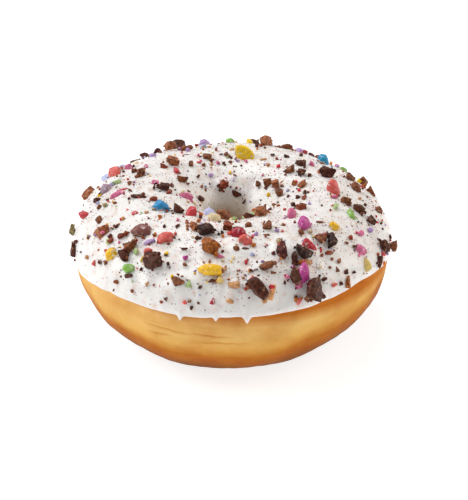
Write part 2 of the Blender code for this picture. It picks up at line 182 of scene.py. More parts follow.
SUGAR_SHELLS = (
    Seen(115, 174, 4.4, 3.2, 10, Tint.CORAL),
    Seen(106, 190, 3.6, 2.8, 0, Tint.MAUVE),
    Seen(118, 195, 4.9, 1.7, 27, Tint.PINK),
    Seen(86, 215, 2.9, 2.7, 0, Tint.RED),
    Seen(160, 207, 4.9, 3.2, 25, Tint.BLUE),
    Seen(112, 255, 4.0, 3.3, 30, Tint.YELLOW),
    Seen(130, 268, 3.8, 2.7, 15, Tint.GREEN),
    Seen(144, 231, 6.6, 3.2, 0, Tint.COCOA),
    Seen(163, 239, 4.8, 2.8, 0, Tint.CORAL),
    Seen(203, 139, 3.0, 2.4, 0, Tint.LILAC),
    # The two yellow shards at the back take the copy of yellow with painted light
    Seen(243, 155, 6.2, 4.3, -15, Tint.YELLOW_WITH_PAINTED_LIGHT),
    Seen(250, 143, 3.0, 2.3, 0, Tint.YELLOW_WITH_PAINTED_LIGHT),
    Seen(229, 138, 3.0, 2.2, 0, Tint.GREEN),
    Seen(185, 197, 4.5, 2.4, 10, Tint.PINK),
    Seen(190, 214, 3.3, 3.0, 60, Tint.RED),
    Seen(215, 219, 4.0, 2.4, 0, Tint.WAFER),
    Seen(239, 235, 4.5, 3.2, 20, Tint.CRIMSON),
    Seen(247, 242, 3.6, 3.3, 0, Tint.CORAL),
    Seen(209, 272, 6.2, 3.6, -5, Tint.YELLOW),
    Seen(299, 148, 2.9, 2.2, 0, Tint.LILAC),
    Seen(323, 162, 4.1, 3.7, -10, Tint.TEAL),
    Seen(333, 190, 4.1, 3.3, -50, Tint.CORAL),
    Seen(350, 214, 4.0, 2.2, 90, Tint.GREEN),
    Seen(293, 217, 3.1, 2.7, 90, Tint.PINK),
    Seen(305, 226, 4.6, 3.5, 70, Tint.MAGENTA),
    Seen(333, 227, 3.4, 2.2, -30, Tint.YELLOW),
    Seen(311, 246, 5.0, 1.9, -30, Tint.RED),
    Seen(360, 250, 4.0, 2.3, -25, Tint.PINK),
    Seen(366, 264, 4.2, 2.1, 88, Tint.GOLD),
    Seen(303, 273, 5.4, 3.4, -80, Tint.MAGENTA),
)
SMALL_BITS = (
    Seen(153, 155, 2.3, 1.5, 0, Tint.LILAC),
    Seen(165, 167, 2.3, 1.7, 0, Tint.RUST),
    Seen(147, 166, 2.0, 1.2, 90, Tint.PINK),
    Seen(137, 163, 1.7, 1.5, 0, Tint.WAFER),
    Seen(129, 168, 2.6, 2.3, 0, Tint.PINK),
    Seen(133, 171, 1.6, 1.3, 0, Tint.BROWN),
    Seen(116, 182, 3.4, 1.5, 0, Tint.PALE_GREEN),
    Seen(130, 182, 2.0, 1.2, 90, Tint.BROWN),
    Seen(122, 190, 2.8, 0.8, 15, Tint.RED),
    Seen(97, 200, 2.8, 2.0, 0, Tint.DARK),
    Seen(99, 207, 2.0, 1.2, 80, Tint.BROWN),
    Seen(106, 205, 1.6, 1.5, 0, Tint.OLIVE),
    Seen(154, 183, 2.3, 1.7, 0, Tint.PINK),
    Seen(169, 192, 1.7, 1.6, 0, Tint.RUST),
    Seen(151, 200, 2.8, 1.5, 0, Tint.RUST),
    Seen(135, 213, 2.0, 1.7, 0, Tint.RED),
    Seen(147, 212, 1.5, 1.4, 0, Tint.TAN),
    Seen(100, 220, 2.3, 1.7, 90, Tint.BROWN),
    Seen(160, 218, 1.7, 0.9, 90, Tint.ORANGE),
    Seen(97, 231, 2.5, 1.7, 0, Tint.CARAMEL),
    Seen(90, 236, 1.3, 1.1, 0, Tint.MAUVE),
    Seen(123, 235, 2.3, 1.7, 0, Tint.RUST),
    Seen(112, 240, 2.3, 2.0, 90, Tint.RUST),
    Seen(149, 242, 3.4, 1.2, 10, Tint.LILAC),
    Seen(106, 263, 1.5, 1.4, 0, Tint.BROWN),
    Seen(136, 251, 2.3, 1.7, 90, Tint.PALE_GREEN),
    Seen(87, 257, 1.4, 1.1, 0, Tint.TAN),
    Seen(93, 264, 1.7, 1.1, 90, Tint.CORAL),
    Seen(129, 275, 2.8, 1.3, 0, Tint.DARK),
    Seen(149, 251, 2.6, 2.0, 0, Tint.CORAL),
    Seen(156, 253, 1.7, 1.6, 0, Tint.DARK),
    Seen(142, 259, 1.7, 1.1, 90, Tint.GOLD),
    Seen(148, 283, 1.4, 1.1, 45, Tint.TAN),
    Seen(162, 302, 0.9, 0.8, 0, Tint.RUST),
    Seen(166, 299, 1.4, 1.1, 60, Tint.DARK),
    Seen(204, 146, 2.0, 1.7, 0, Tint.LAVENDER),
    Seen(190, 155, 4.0, 0.8, -5, Tint.DARK),
    Seen(235, 138, 1.7, 1.3, 0, Tint.WAFER),
    Seen(253, 138, 1.3, 1.1, 0, Tint.DARK),
    Seen(258, 139, 1.4, 1.1, 80, Tint.DARK),
    Seen(226, 154, 2.0, 1.4, 90, Tint.BROWN),
    Seen(212, 160, 1.5, 1.3, 0, Tint.BROWN),
    Seen(217, 149, 1.1, 1.0, 0, Tint.RUST),
    Seen(200, 162, 1.7, 0.9, 10, Tint.CORAL),
    Seen(191, 164, 2.0, 1.7, 90, Tint.BROWN),
    Seen(263, 159, 2.3, 0.9, 5, Tint.TAN),
    Seen(272, 154, 1.4, 0.9, 0, Tint.DARK),
    Seen(286, 156, 1.8, 1.3, -15, Tint.DARK),
    Seen(267, 164, 1.4, 1.3, 0, Tint.LILAC),
    Seen(275, 171, 1.1, 0.9, 0, Tint.PINK),
    Seen(233, 178, 1.5, 0.7, 80, Tint.LILAC),
    Seen(243, 201, 1.5, 0.9, 60, Tint.DARK),
    Seen(257, 184, 2.0, 1.7, 90, Tint.BROWN),
    Seen(200, 199, 2.3, 1.7, 0, Tint.DARK),
    Seen(194, 203, 2.3, 1.1, -10, Tint.WAFER),
    Seen(190, 191, 1.2, 0.9, 0, Tint.BROWN),
    Seen(206, 189, 1.2, 0.9, 90, Tint.BROWN),
    Seen(177, 171, 2.3, 1.7, 90, Tint.RED),
    Seen(254, 209, 1.5, 1.4, 0, Tint.ORANGE),
    Seen(237, 221, 1.7, 1.1, 90, Tint.CARAMEL),
    Seen(274, 204, 1.2, 1.1, 0, Tint.BROWN),
    Seen(217, 234, 1.7, 0.9, 75, Tint.DARK),
    Seen(249, 226, 2.3, 1.8, -30, Tint.BROWN),
    Seen(245, 248, 2.3, 0.8, 0, Tint.DARK),
    Seen(239, 229, 2.8, 0.9, 10, Tint.DARK),
    Seen(257, 234, 2.0, 1.4, 90, Tint.LILAC),
    Seen(266, 235, 2.3, 0.8, 0, Tint.BROWN),
    Seen(280, 240, 1.5, 1.2, 0, Tint.BROWN),
    Seen(210, 242, 2.0, 1.4, 0, Tint.LAVENDER),
    Seen(219, 257, 2.3, 1.1, -15, Tint.PINK),
    Seen(237, 249, 1.7, 1.6, 0, Tint.BROWN),
    Seen(184, 249, 1.8, 0.7, 0, Tint.DARK),
    Seen(185, 257, 1.5, 1.2, 0, Tint.MAGENTA),
    Seen(185, 263, 1.2, 1.1, 0, Tint.BROWN),
    Seen(212, 281, 2.0, 1.1, 0, Tint.DARK),
    Seen(219, 281, 2.3, 1.9, 90, Tint.GOLD),
    Seen(226, 270, 1.2, 1.1, 0, Tint.TAN),
    Seen(253, 271, 1.2, 0.9, 0, Tint.DARK),
    Seen(274, 272, 1.5, 1.1, 0, Tint.BROWN),
    Seen(189, 284, 2.3, 1.7, 90, Tint.PALE_GREEN),
    Seen(200, 287, 1.2, 1.1, 0, Tint.DARK),
    Seen(234, 285, 3.1, 2.0, 0, Tint.TAN),
    Seen(270, 294, 3.6, 1.9, 75, Tint.PEACH),
    Seen(273, 290, 3.4, 1.5, 78, Tint.PEACH),
    Seen(212, 302, 1.7, 1.4, 80, Tint.CRIMSON),
    Seen(198, 303, 0.9, 0.8, 0, Tint.DARK),
    Seen(192, 308, 1.4, 0.9, 60, Tint.DARK),
    Seen(229, 300, 2.0, 1.7, 0, Tint.TAN),
    Seen(287, 276, 1.5, 1.4, 0, Tint.PINK),
    Seen(285, 283, 1.2, 0.9, 80, Tint.DARK),
    Seen(312, 153, 2.1, 1.7, 0, Tint.MAROON),
    Seen(311, 164, 2.0, 1.7, 0, Tint.PINK),
    Seen(310, 174, 1.2, 1.1, 0, Tint.BROWN),
    Seen(293, 183, 1.5, 1.4, 0, Tint.CARAMEL),
    Seen(322, 172, 2.8, 1.4, 10, Tint.CORAL),
    Seen(335, 196, 2.0, 1.2, 0, Tint.PINK),
    Seen(349, 205, 1.5, 1.4, 0, Tint.BROWN),
    Seen(363, 211, 2.0, 1.4, 90, Tint.LAVENDER),
    Seen(336, 207, 2.3, 2.0, 60, Tint.PALE_GREEN),
    Seen(298, 197, 1.5, 1.4, 0, Tint.DARK),
    Seen(305, 197, 2.6, 1.4, 80, Tint.RUST),
    Seen(320, 221, 2.1, 0.9, 0, Tint.BROWN),
    Seen(300, 231, 2.0, 1.7, 60, Tint.BROWN),
    Seen(329, 252, 2.3, 1.4, 0, Tint.RUST),
    Seen(361, 233, 2.3, 1.7, 0, Tint.PINK),
    Seen(347, 242, 1.2, 0.9, 0, Tint.BROWN),
    Seen(354, 246, 1.2, 0.9, 0, Tint.BROWN),
    Seen(363, 253, 2.2, 2.0, 60, Tint.BROWN),
    Seen(384, 255, 1.7, 1.4, 0, Tint.RED),
    Seen(294, 258, 2.8, 2.2, 80, Tint.DARK),
    Seen(308, 262, 2.6, 1.7, 20, Tint.TAN),
    Seen(299, 285, 2.6, 1.4, 15, Tint.PINK),
    Seen(320, 298, 1.7, 1.1, 80, Tint.MAROON),
    Seen(337, 268, 1.7, 1.1, 90, Tint.BROWN),
    Seen(347, 272, 1.7, 1.4, 80, Tint.DARK),
    Seen(342, 283, 1.2, 1.1, 0, Tint.DARK),
    Seen(349, 287, 3.4, 1.7, 75, Tint.CARAMEL),
    Seen(334, 285, 1.5, 1.4, 0, Tint.CORAL),
    Seen(301, 308, 2.0, 1.4, 60, Tint.CORAL),
    Seen(295, 295, 0.9, 0.8, 0, Tint.DARK),
)


def superellipse(centre: tuple[float, float], reach: tuple[float, float], power: float, turn: Array) -> Array:
    """A quarter of a superellipse: centre plus reach times the 2/power powers of the turn's cosine and sine.

    Args:
        centre: The quarter's centre, as radius and height.
        reach: How far it goes sideways and upwards.
        power: Its fullness, 2 being an ellipse.
        turn: Angles from 0, at its side, to a quarter turn, at its top.

    Returns:
        Radius and height in the last axis.
    """
    across = reach[0] * np.maximum(np.cos(turn), 0.0) ** (2 / power)
    along = reach[1] * np.maximum(np.sin(turn), 0.0) ** (2 / power)
    return np.stack((centre[0] + across, centre[1] + along), axis=-1)


def ripple(points: Array, wavelength: float, seed: int, waves: int = 16) -> Array:
    """Smooth unevenness: the sum of plane waves in random directions, each of about the same wavelength.

    Args:
        points: Places in mm, in the last axis.
        wavelength: The mean length of a wave, in mm.
        seed: What the directions, lengths and phases are drawn with.
        waves: How many waves are summed.

    Returns:
        Heights of about -1 to 1, without the last axis.
    """
    draw = np.random.default_rng(seed)
    ways = draw.normal(size=(waves, 3))
    ways /= np.linalg.norm(ways, axis=1, keepdims=True)
    ways *= TURN / (wavelength * draw.uniform(*RIPPLE_SPREAD, (waves, 1)))
    return np.cos(points @ ways.T + draw.uniform(0, TURN, waves)).sum(axis=-1) / math.sqrt(waves * 2)


@dataclass(frozen=True)
class RingForm:
    """The doughnut's form in mm, with the same named sizes as the solids."""

    radius: float = 44.8
    height: float = 37.9
    equator_height: float = 21.7
    ridge_radius: float = 24.5
    foot_outer_radius: float = 23.5
    foot_inner_radius: float = 15.5
    throat_radius: float = 7.2
    throat_height: float = 20.0
    throat_stretch: float = 0.5
    top_fullness: float = 1.87
    underside_fullness: float = 2.0
    hole_fullness: float = 2.5
    oval: float = 0.01
    oval_start: float = -160.0
    three_lobes: float = 0.012
    three_lobes_start: float = -57.0
    height_lean: float = 0.012
    lean_bearing: float = 150.0
    icing_thickness: float = 1.0
    icing_gap: float = 0.3
    icing_edge_height: float = 24.55
    icing_edge_waves: tuple[tuple[float, float, float], ...] = (
        (1, 0.4, 85.0),
        (2, 0.45, 146.0),
        (3, 0.35, -128.0),
        (5, 0.55, -122.0),
        (7, 0.4, -121.0),
    )
    icing_hole_edge_height: float = 23.5
    icing_hole_edge_waves: tuple[tuple[float, float, float], ...] = ((3, 0.4, 0.0),)
    # Small steps that directions are taken over: along the section, its least turn, and on the icing
    chord_step: float = 0.01
    least_turn: float = 0.001
    nudge: float = 0.004

    @property
    def skin_lift(self) -> float:
        """How far off the dough the icing's outer skin lies, in mm."""
        return self.icing_gap + self.icing_thickness

    def section(self, outside: bool, turn: Array) -> Array:
        """The dough's outer side or the hole's wall: quarter superellipses to the ridge and to the foot.

        Args:
            outside: True for the outer side, False for the hole's wall.
            turn: A quarter turn at the ridge, 0 at the equator or the throat, and below 0 on the underside.

        Returns:
            Radius and height in the last axis.
        """
        if outside:
            side, middle, foot = self.radius, self.equator_height, self.foot_outer_radius
            fullness = self.top_fullness
        else:
            side, middle, foot = self.throat_radius, self.throat_height, self.foot_inner_radius
            fullness = self.hole_fullness
        upper_reach = (side - self.ridge_radius, self.height - middle)
        upper = superellipse((self.ridge_radius, middle), upper_reach, fullness, np.maximum(turn, 0.0))
        lower_reach = (side - foot, -middle)
        lower = superellipse((foot, middle), lower_reach, self.underside_fullness, np.maximum(-turn, 0.0))
        return np.where(np.asarray(turn)[..., None] >= 0, upper, lower)

    def lifted(self, outside: bool, turn: Array, lift: Array) -> Array:
        """The outer side or the hole's wall, moved out along its normal, which is square to a short chord.

        Args:
            outside: True for the outer side, False for the hole's wall.
            turn: Where on it, as an angle.
            lift: How far out, in mm.

        Returns:
            Radius and height in the last axis.
        """
        before = turn - self.chord_step
        low = np.where(turn >= 0, np.maximum(before, self.least_turn), before)
        high = np.minimum(turn + self.chord_step, QUARTER)
        chord = self.section(outside, high) - self.section(outside, low)
        chord /= np.linalg.norm(chord, axis=-1, keepdims=True)
        normal = np.stack((chord[..., 1], -chord[..., 0]), axis=-1) * (1 if outside else -1)
        return self.section(outside, turn) + normal * np.asarray(lift)[..., None]

    def uneven(self, radius: Array, height: Array, bearing: Array) -> tuple[Array, Array]:
        """Where a point of the even ring lies on the real one: slow waves of radius and a lean of height.

        Args:
            radius: Distance from the hole's axis, in mm.
            height: Height in mm.
            bearing: Angle round the axis.

        Returns:
            The new radius and height.
        """
        two = self.oval * np.cos(2 * bearing + math.radians(self.oval_start))
        three = self.three_lobes * np.cos(3 * bearing + math.radians(self.three_lobes_start))
        swell = 1.0 + two + three
        rise = 1.0 + self.height_lean * np.cos(bearing - math.radians(self.lean_bearing))
        inward = np.clip((self.ridge_radius - radius) / (self.ridge_radius - self.throat_radius), 0.0, 1.0)
        stretch = self.throat_stretch * np.cos(2 * bearing) * inward**2
        return radius * swell - stretch, height * rise

    def place(self, section: Array, bearing: Array) -> Array:
        """Turns the cross-section's radius and height to a bearing, as X, Y and Z in mm."""
        radius, height = self.uneven(section[..., 0], section[..., 1], bearing)
        return np.stack((radius * np.cos(bearing), radius * np.sin(bearing), height), axis=-1)

    def wavy(self, height: float, waves: tuple[tuple[float, float, float], ...], bearing: Array) -> Array:
        """A height plus cosine waves round the ring.

        Args:
            height: The height in mm.
            waves: Each wave's count round the ring, its rise in mm and its start in degrees.
            bearing: Angles round the axis.

        Returns:
            Heights in mm.
        """
        rises = (rise * np.cos(count * bearing + math.radians(start)) for count, rise, start in waves)
        return height + sum(rises)

    def turn_at(self, height: Array, low: float, high: float, power: float) -> Array:
        """The turn at which a section reaches a height: on the upper quarter above low, on the lower below.

        Args:
            height: Heights in mm.
            low: The section's height at turn 0.
            high: Its height at a quarter turn.
            power: The fullness of its upper quarter.

        Returns:
            Angles, below 0 where the height is below low.
        """
        above = np.clip((height - low) / (high - low), 0.0, 1.0) ** (power / 2)
        below = np.clip((low - height) / low, 0.0, 1.0) ** (self.underside_fullness / 2)
        return np.arcsin(above) - np.arcsin(below)

    def icing(self, share: Array, bearing: Array, lift: Array, sag: Array | float = 0.0) -> Array:
        """A point above the dough, as X, Y and Z in mm.

        Args:
            share: 0 at the icing's outer edge, 0.5 on the ridge and 1 at its edge in the hole.
            bearing: Angle round the axis.
            lift: Distance off the dough, in mm.
            sag: How far the outer edge hangs below its usual height, in mm.

        Returns:
            The places, in the last axis.
        """
        share, bearing = np.broadcast_arrays(np.asarray(share, float), np.asarray(bearing, float))
        edge = self.wavy(self.icing_edge_height, self.icing_edge_waves, bearing)
        usual = np.maximum(edge, self.equator_height)
        start = self.turn_at(usual - sag, self.equator_height, self.height, self.top_fullness)
        outer = self.lifted(True, start + (QUARTER - start) * np.minimum(share * 2, 1.0), lift)
        hole_edge = self.wavy(self.icing_hole_edge_height, self.icing_hole_edge_waves, bearing)
        end = self.turn_at(hole_edge, self.throat_height, self.height, self.hole_fullness)
        inner = self.lifted(False, end + (QUARTER - end) * np.minimum((1 - share) * 2, 1.0), lift)
        return self.place(np.where(share[..., None] <= 0.5, outer, inner), bearing)

    def top(self, share: Array, bearing: Array) -> Array:
        """A point on the icing's outer skin, in mm."""
        return self.icing(share, bearing, np.full(np.shape(share), self.skin_lift))

    def ground(self, share: Array, bearing: Array) -> tuple[Array, Array, Array, Array]:
        """Points on the icing and the directions there: along the ring, across it and straight out.

        Args:
            share: Where across the icing.
            bearing: Where round the ring.

        Returns:
            The places in mm, and the three unit directions.
        """
        at = self.top(share, bearing)
        along = unit(self.top(share, bearing + self.nudge) - at)
        out = unit(np.cross(along, self.top(share + self.nudge, bearing) - at))
        return at, along, np.cross(out, along), out

    def beside(self, share: Array, bearing: Array, offset: Array) -> tuple[Array, Array]:
        """The share and bearing a small way from others: the way's parts over the mm that each unit spans.

        Args:
            share: Where across the icing.
            bearing: Where round the ring.
            offset: The way from there, in mm along X, Y and Z.

        Returns:
            The new share and bearing.
        """
        at, along, across, _ = self.ground(share, bearing)
        span = np.linalg.norm(self.top(share + self.nudge, bearing) - at, axis=-1) / self.nudge
        radius = np.hypot(at[:, 0], at[:, 1])
        moved_share = share + (offset * across).sum(axis=-1) / span
        return moved_share, bearing + (offset * along).sum(axis=-1) / radius


def unit(ways: Array) -> Array:
    """Directions of length 1."""
    return ways / np.linalg.norm(ways, axis=-1, keepdims=True)


@dataclass(frozen=True)
class PhotoView:
    """The camera of the photograph: it looks level along +Y and down by the elevation, at the ring's axis."""

    elevation: float = 29.1
    distance: float = 330.0
    target_height: float = 20.0
    pixels_per_mm: float = 3.51
    centre_x: float = 231.7
    centre_y: float = 248.2
    frame_width: int = 468
    frame_height: int = 500
    sensor: float = 36.0
    grid_round: int = 540
    grid_across: int = 90
    pixel_reach: float = 1.8
    nearest_slack: float = 1.01
    edge_margin: float = 0.05
    shortest_way: float = 0.1
    clip_start: float = 0.01

    def toward(self) -> Array:
        """The direction from the doughnut to the camera."""
        tilt = math.radians(self.elevation)
        return np.array((0.0, -math.cos(tilt), math.sin(tilt)))

    def pixels(self, points: Array) -> tuple[Array, Array, Array]:
        """Where points show in the photograph, and how far along the line of sight they are.

        Args:
            points: Places in mm.

        Returns:
            Pixel x, pixel y and depth in mm.
        """
        tilt = math.radians(self.elevation)
        rise = points[..., 2] - self.target_height
        depth = self.distance + points[..., 1] * math.cos(tilt) - rise * math.sin(tilt)
        scale = self.pixels_per_mm * self.distance / depth
        up = points[..., 1] * math.sin(tilt) + rise * math.cos(tilt)
        return self.centre_x + scale * points[..., 0], self.centre_y - scale * up, depth

    def find(self, form: RingForm, seen: tuple[Seen, ...]) -> tuple[Array, Array]:
        """Looks up where on the icing each sweet of the photograph lies, on a grid of the icing's skin.

        Args:
            form: The ring.
            seen: The sweets, by their pixels.

        Returns:
            Share and bearing of each.
        """
        shares = np.arange(self.grid_across + 1) / self.grid_across
        bearings = TURN * np.arange(self.grid_round) / self.grid_round
        share, bearing = (part.ravel() for part in np.meshgrid(shares, bearings, indexing="ij"))
        pixel_x, pixel_y, depth = self.pixels(form.top(share, bearing))
        found = []
        for sweet in seen:
            apart = np.hypot(pixel_x - sweet.pixel_x, pixel_y - sweet.pixel_y)
            near = np.flatnonzero(apart < max(apart.min() * self.nearest_slack, self.pixel_reach))
            found.append(near[depth[near].argmin()])
        return np.clip(share[found], self.edge_margin, 1 - self.edge_margin), bearing[found]

    def turned(self, along: Array, out: Array, degrees: Array) -> Array:
        """The directions on the icing that the photograph shows at angles from its horizontal.

        Args:
            along: Directions along the ring, taken where the wanted one points at the viewer.
            out: Directions straight out of the icing.
            degrees: The angles.

        Returns:
            Unit directions that lie in the icing's surface.
        """
        tilt, angle = math.radians(self.elevation), np.radians(degrees)
        upwards = np.sin(angle)
        wanted = np.stack((np.cos(angle), upwards * math.sin(tilt), upwards * math.cos(tilt)), axis=-1)
        flat = wanted - out * (wanted * out).sum(-1, keepdims=True)
        length = np.linalg.norm(flat, axis=-1, keepdims=True)
        return np.where(length > self.shortest_way, flat / np.maximum(length, self.shortest_way), along)

    def camera(self) -> bpy.types.Object:
        """Makes the camera that sees the doughnut as the photograph does.

        Returns:
            The camera.
        """
        made = bpy.data.objects.new("camera", bpy.data.cameras.new("camera"))
        bpy.context.scene.collection.objects.link(made)
        tilt = math.radians(self.elevation)
        back = self.distance * MM
        height = self.target_height * MM + back * math.sin(tilt)
        made.location = (0.0, -back * math.cos(tilt), height)
        made.rotation_euler = (QUARTER - tilt, 0.0, 0.0)
        long_side = max(self.frame_width, self.frame_height)
        made.data.sensor_width = self.sensor
        made.data.lens = self.sensor * self.pixels_per_mm * self.distance / long_side
        made.data.shift_x = (self.frame_width / 2 - self.centre_x) / long_side
        made.data.shift_y = (self.centre_y - self.frame_height / 2) / long_side
        made.data.clip_start = self.clip_start
        bpy.context.scene.camera = made
        return made


class Slot(Enum):
    """The record's material slots."""

    DOUGH = "fried_dough"
    ICING = "white_icing"
    CHOCOLATE = "chocolate"
    SHELL = "sugar_shell"
    CRUMB = "wafer_crumb"


def make_piece(
    name: str, points: Array, faces: list[Array], tints: Array | None = None
) -> bpy.types.Object:
    """Makes a smooth mesh object at the origin, which rides on the doughnut's one body.

    Args:
        name: The piece's name.
        points: Vertices in mm, (count, 3).
        faces: Arrays of vertex numbers, one array for each count of corners.
        tints: A linear colour for each vertex, kept as the attribute "tint".

    Returns:
        The object.
    """
    mesh = bpy.data.meshes.new(name)
    corners = [face for group in faces for face in group.tolist()]
    mesh.from_pydata((points * MM).tolist(), [], corners)
    if tints is not None:
        colours = mesh.attributes.new("tint", "FLOAT_COLOR", "POINT")
        colours.data.foreach_set("color", np.ascontiguousarray(tints, dtype=np.float32).ravel())
    mesh.shade_smooth()
    mesh.update()
    piece = bpy.data.objects.new(name, mesh)
    bpy.context.scene.collection.objects.link(piece)
    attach(piece, "root")
    LOG.info("%s: %d vertices, %d faces", name, len(points), len(corners))
    return piece


def ring_faces(rows: int, columns: int) -> Array:
    """Four-cornered faces of a grid that closes on itself both ways.

    Args:
        rows: How many rows of vertices there are.
        columns: How many vertices a row has, one row following the other.

    Returns:
        Vertex numbers, (faces, 4).
    """
    row, column = np.meshgrid(np.arange(rows), np.arange(columns), indexing="ij")
    here, below = row * columns, (row + 1) % rows * columns
    beside = (column + 1) % columns
    return np.stack((here + column, below + column, below + beside, here + beside), axis=-1).reshape(-1, 4)


def capped_faces(rows: int, columns: int) -> tuple[Array, Array]:
    """Faces of a closed lump: a lower pole, then rings from the lowest to the highest, then an upper pole.

    Args:
        rows: How many rows of vertices there are between the two poles.
        columns: How many vertices a row has.

    Returns:
        The four-cornered faces and the three-cornered ones at the poles.
    """
    row, column = np.meshgrid(np.arange(rows - 1), np.arange(columns), indexing="ij")
    here, beside = 1 + row * columns + column, 1 + row * columns + (column + 1) % columns
    quads = np.stack((here, beside, beside + columns, here + columns), axis=-1).reshape(-1, 4)
    around = np.arange(columns)
    following = (around + 1) % columns
    last_row = 1 + (rows - 1) * columns
    first = np.stack((np.zeros_like(around), 1 + following, 1 + around), axis=-1)
    top = np.full_like(around, rows * columns + 1)
    last = np.stack((top, last_row + around, last_row + following), axis=-1)
    return quads, np.concatenate((first, last))


def repeated(faces: tuple[Array, ...], vertices: int, count: int) -> list[Array]:
    """The faces of one lump, repeated for each of a count of lumps that have so many vertices."""
    steps = np.arange(count)[:, None, None] * vertices
    return [(group[None] + steps).reshape(-1, group.shape[1]) for group in faces]


def add_node(
    tree: bpy.types.NodeTree, kind: str, settings: dict | None = None, links: dict | None = None
) -> bpy.types.Node:
    """Adds a node to a material's tree.

    Args:
        tree: The material's node tree.
        kind: The node's type, without the word ShaderNode in front.
        settings: The node's own settings and its sockets' values by name or number, and a ramp's "stops".
        links: The sockets that feed it, by the name or number of the socket they go to.

    Returns:
        The node.
    """
    node = tree.nodes.new("ShaderNode" + kind)
    for name, value in (settings or {}).items():
        if name == "stops":
            first, *middle, last = value
            ramp = node.color_ramp.elements
            ramp[0].position, ramp[0].color = first
            ramp[1].position, ramp[1].color = last
            for position, colour in middle:
                ramp.new(position).color = colour
        elif isinstance(name, str) and hasattr(node, name):
            setattr(node, name, value)
        else:
            node.inputs[name].default_value = value
    for name, source in (links or {}).items():
        tree.links.new(source, node.inputs[name])
    return node


def dressed(name: str, values: dict) -> tuple[bpy.types.Material, bpy.types.NodeTree, bpy.types.Node]:
    """A new material whose shader has these values on its own sockets.

    Args:
        name: The material's name.
        values: Values of the shader's sockets by name.

    Returns:
        The material, its node tree and its shader node.
    """
    material = bpy.data.materials.new(name)
    material.use_nodes = True
    shader = material.node_tree.nodes["Principled BSDF"]
    for socket, value in values.items():
        shader.inputs[socket].default_value = value
    return material, material.node_tree, shader


def per_metre(size: float) -> float:
    """The scale of a pattern on Object coordinates whose features are about size mm apart."""
    return 1.0 / (size * MM)


def grey(level: float) -> Colour:
    """A grey of this linear level."""
    return level, level, level, 1.0


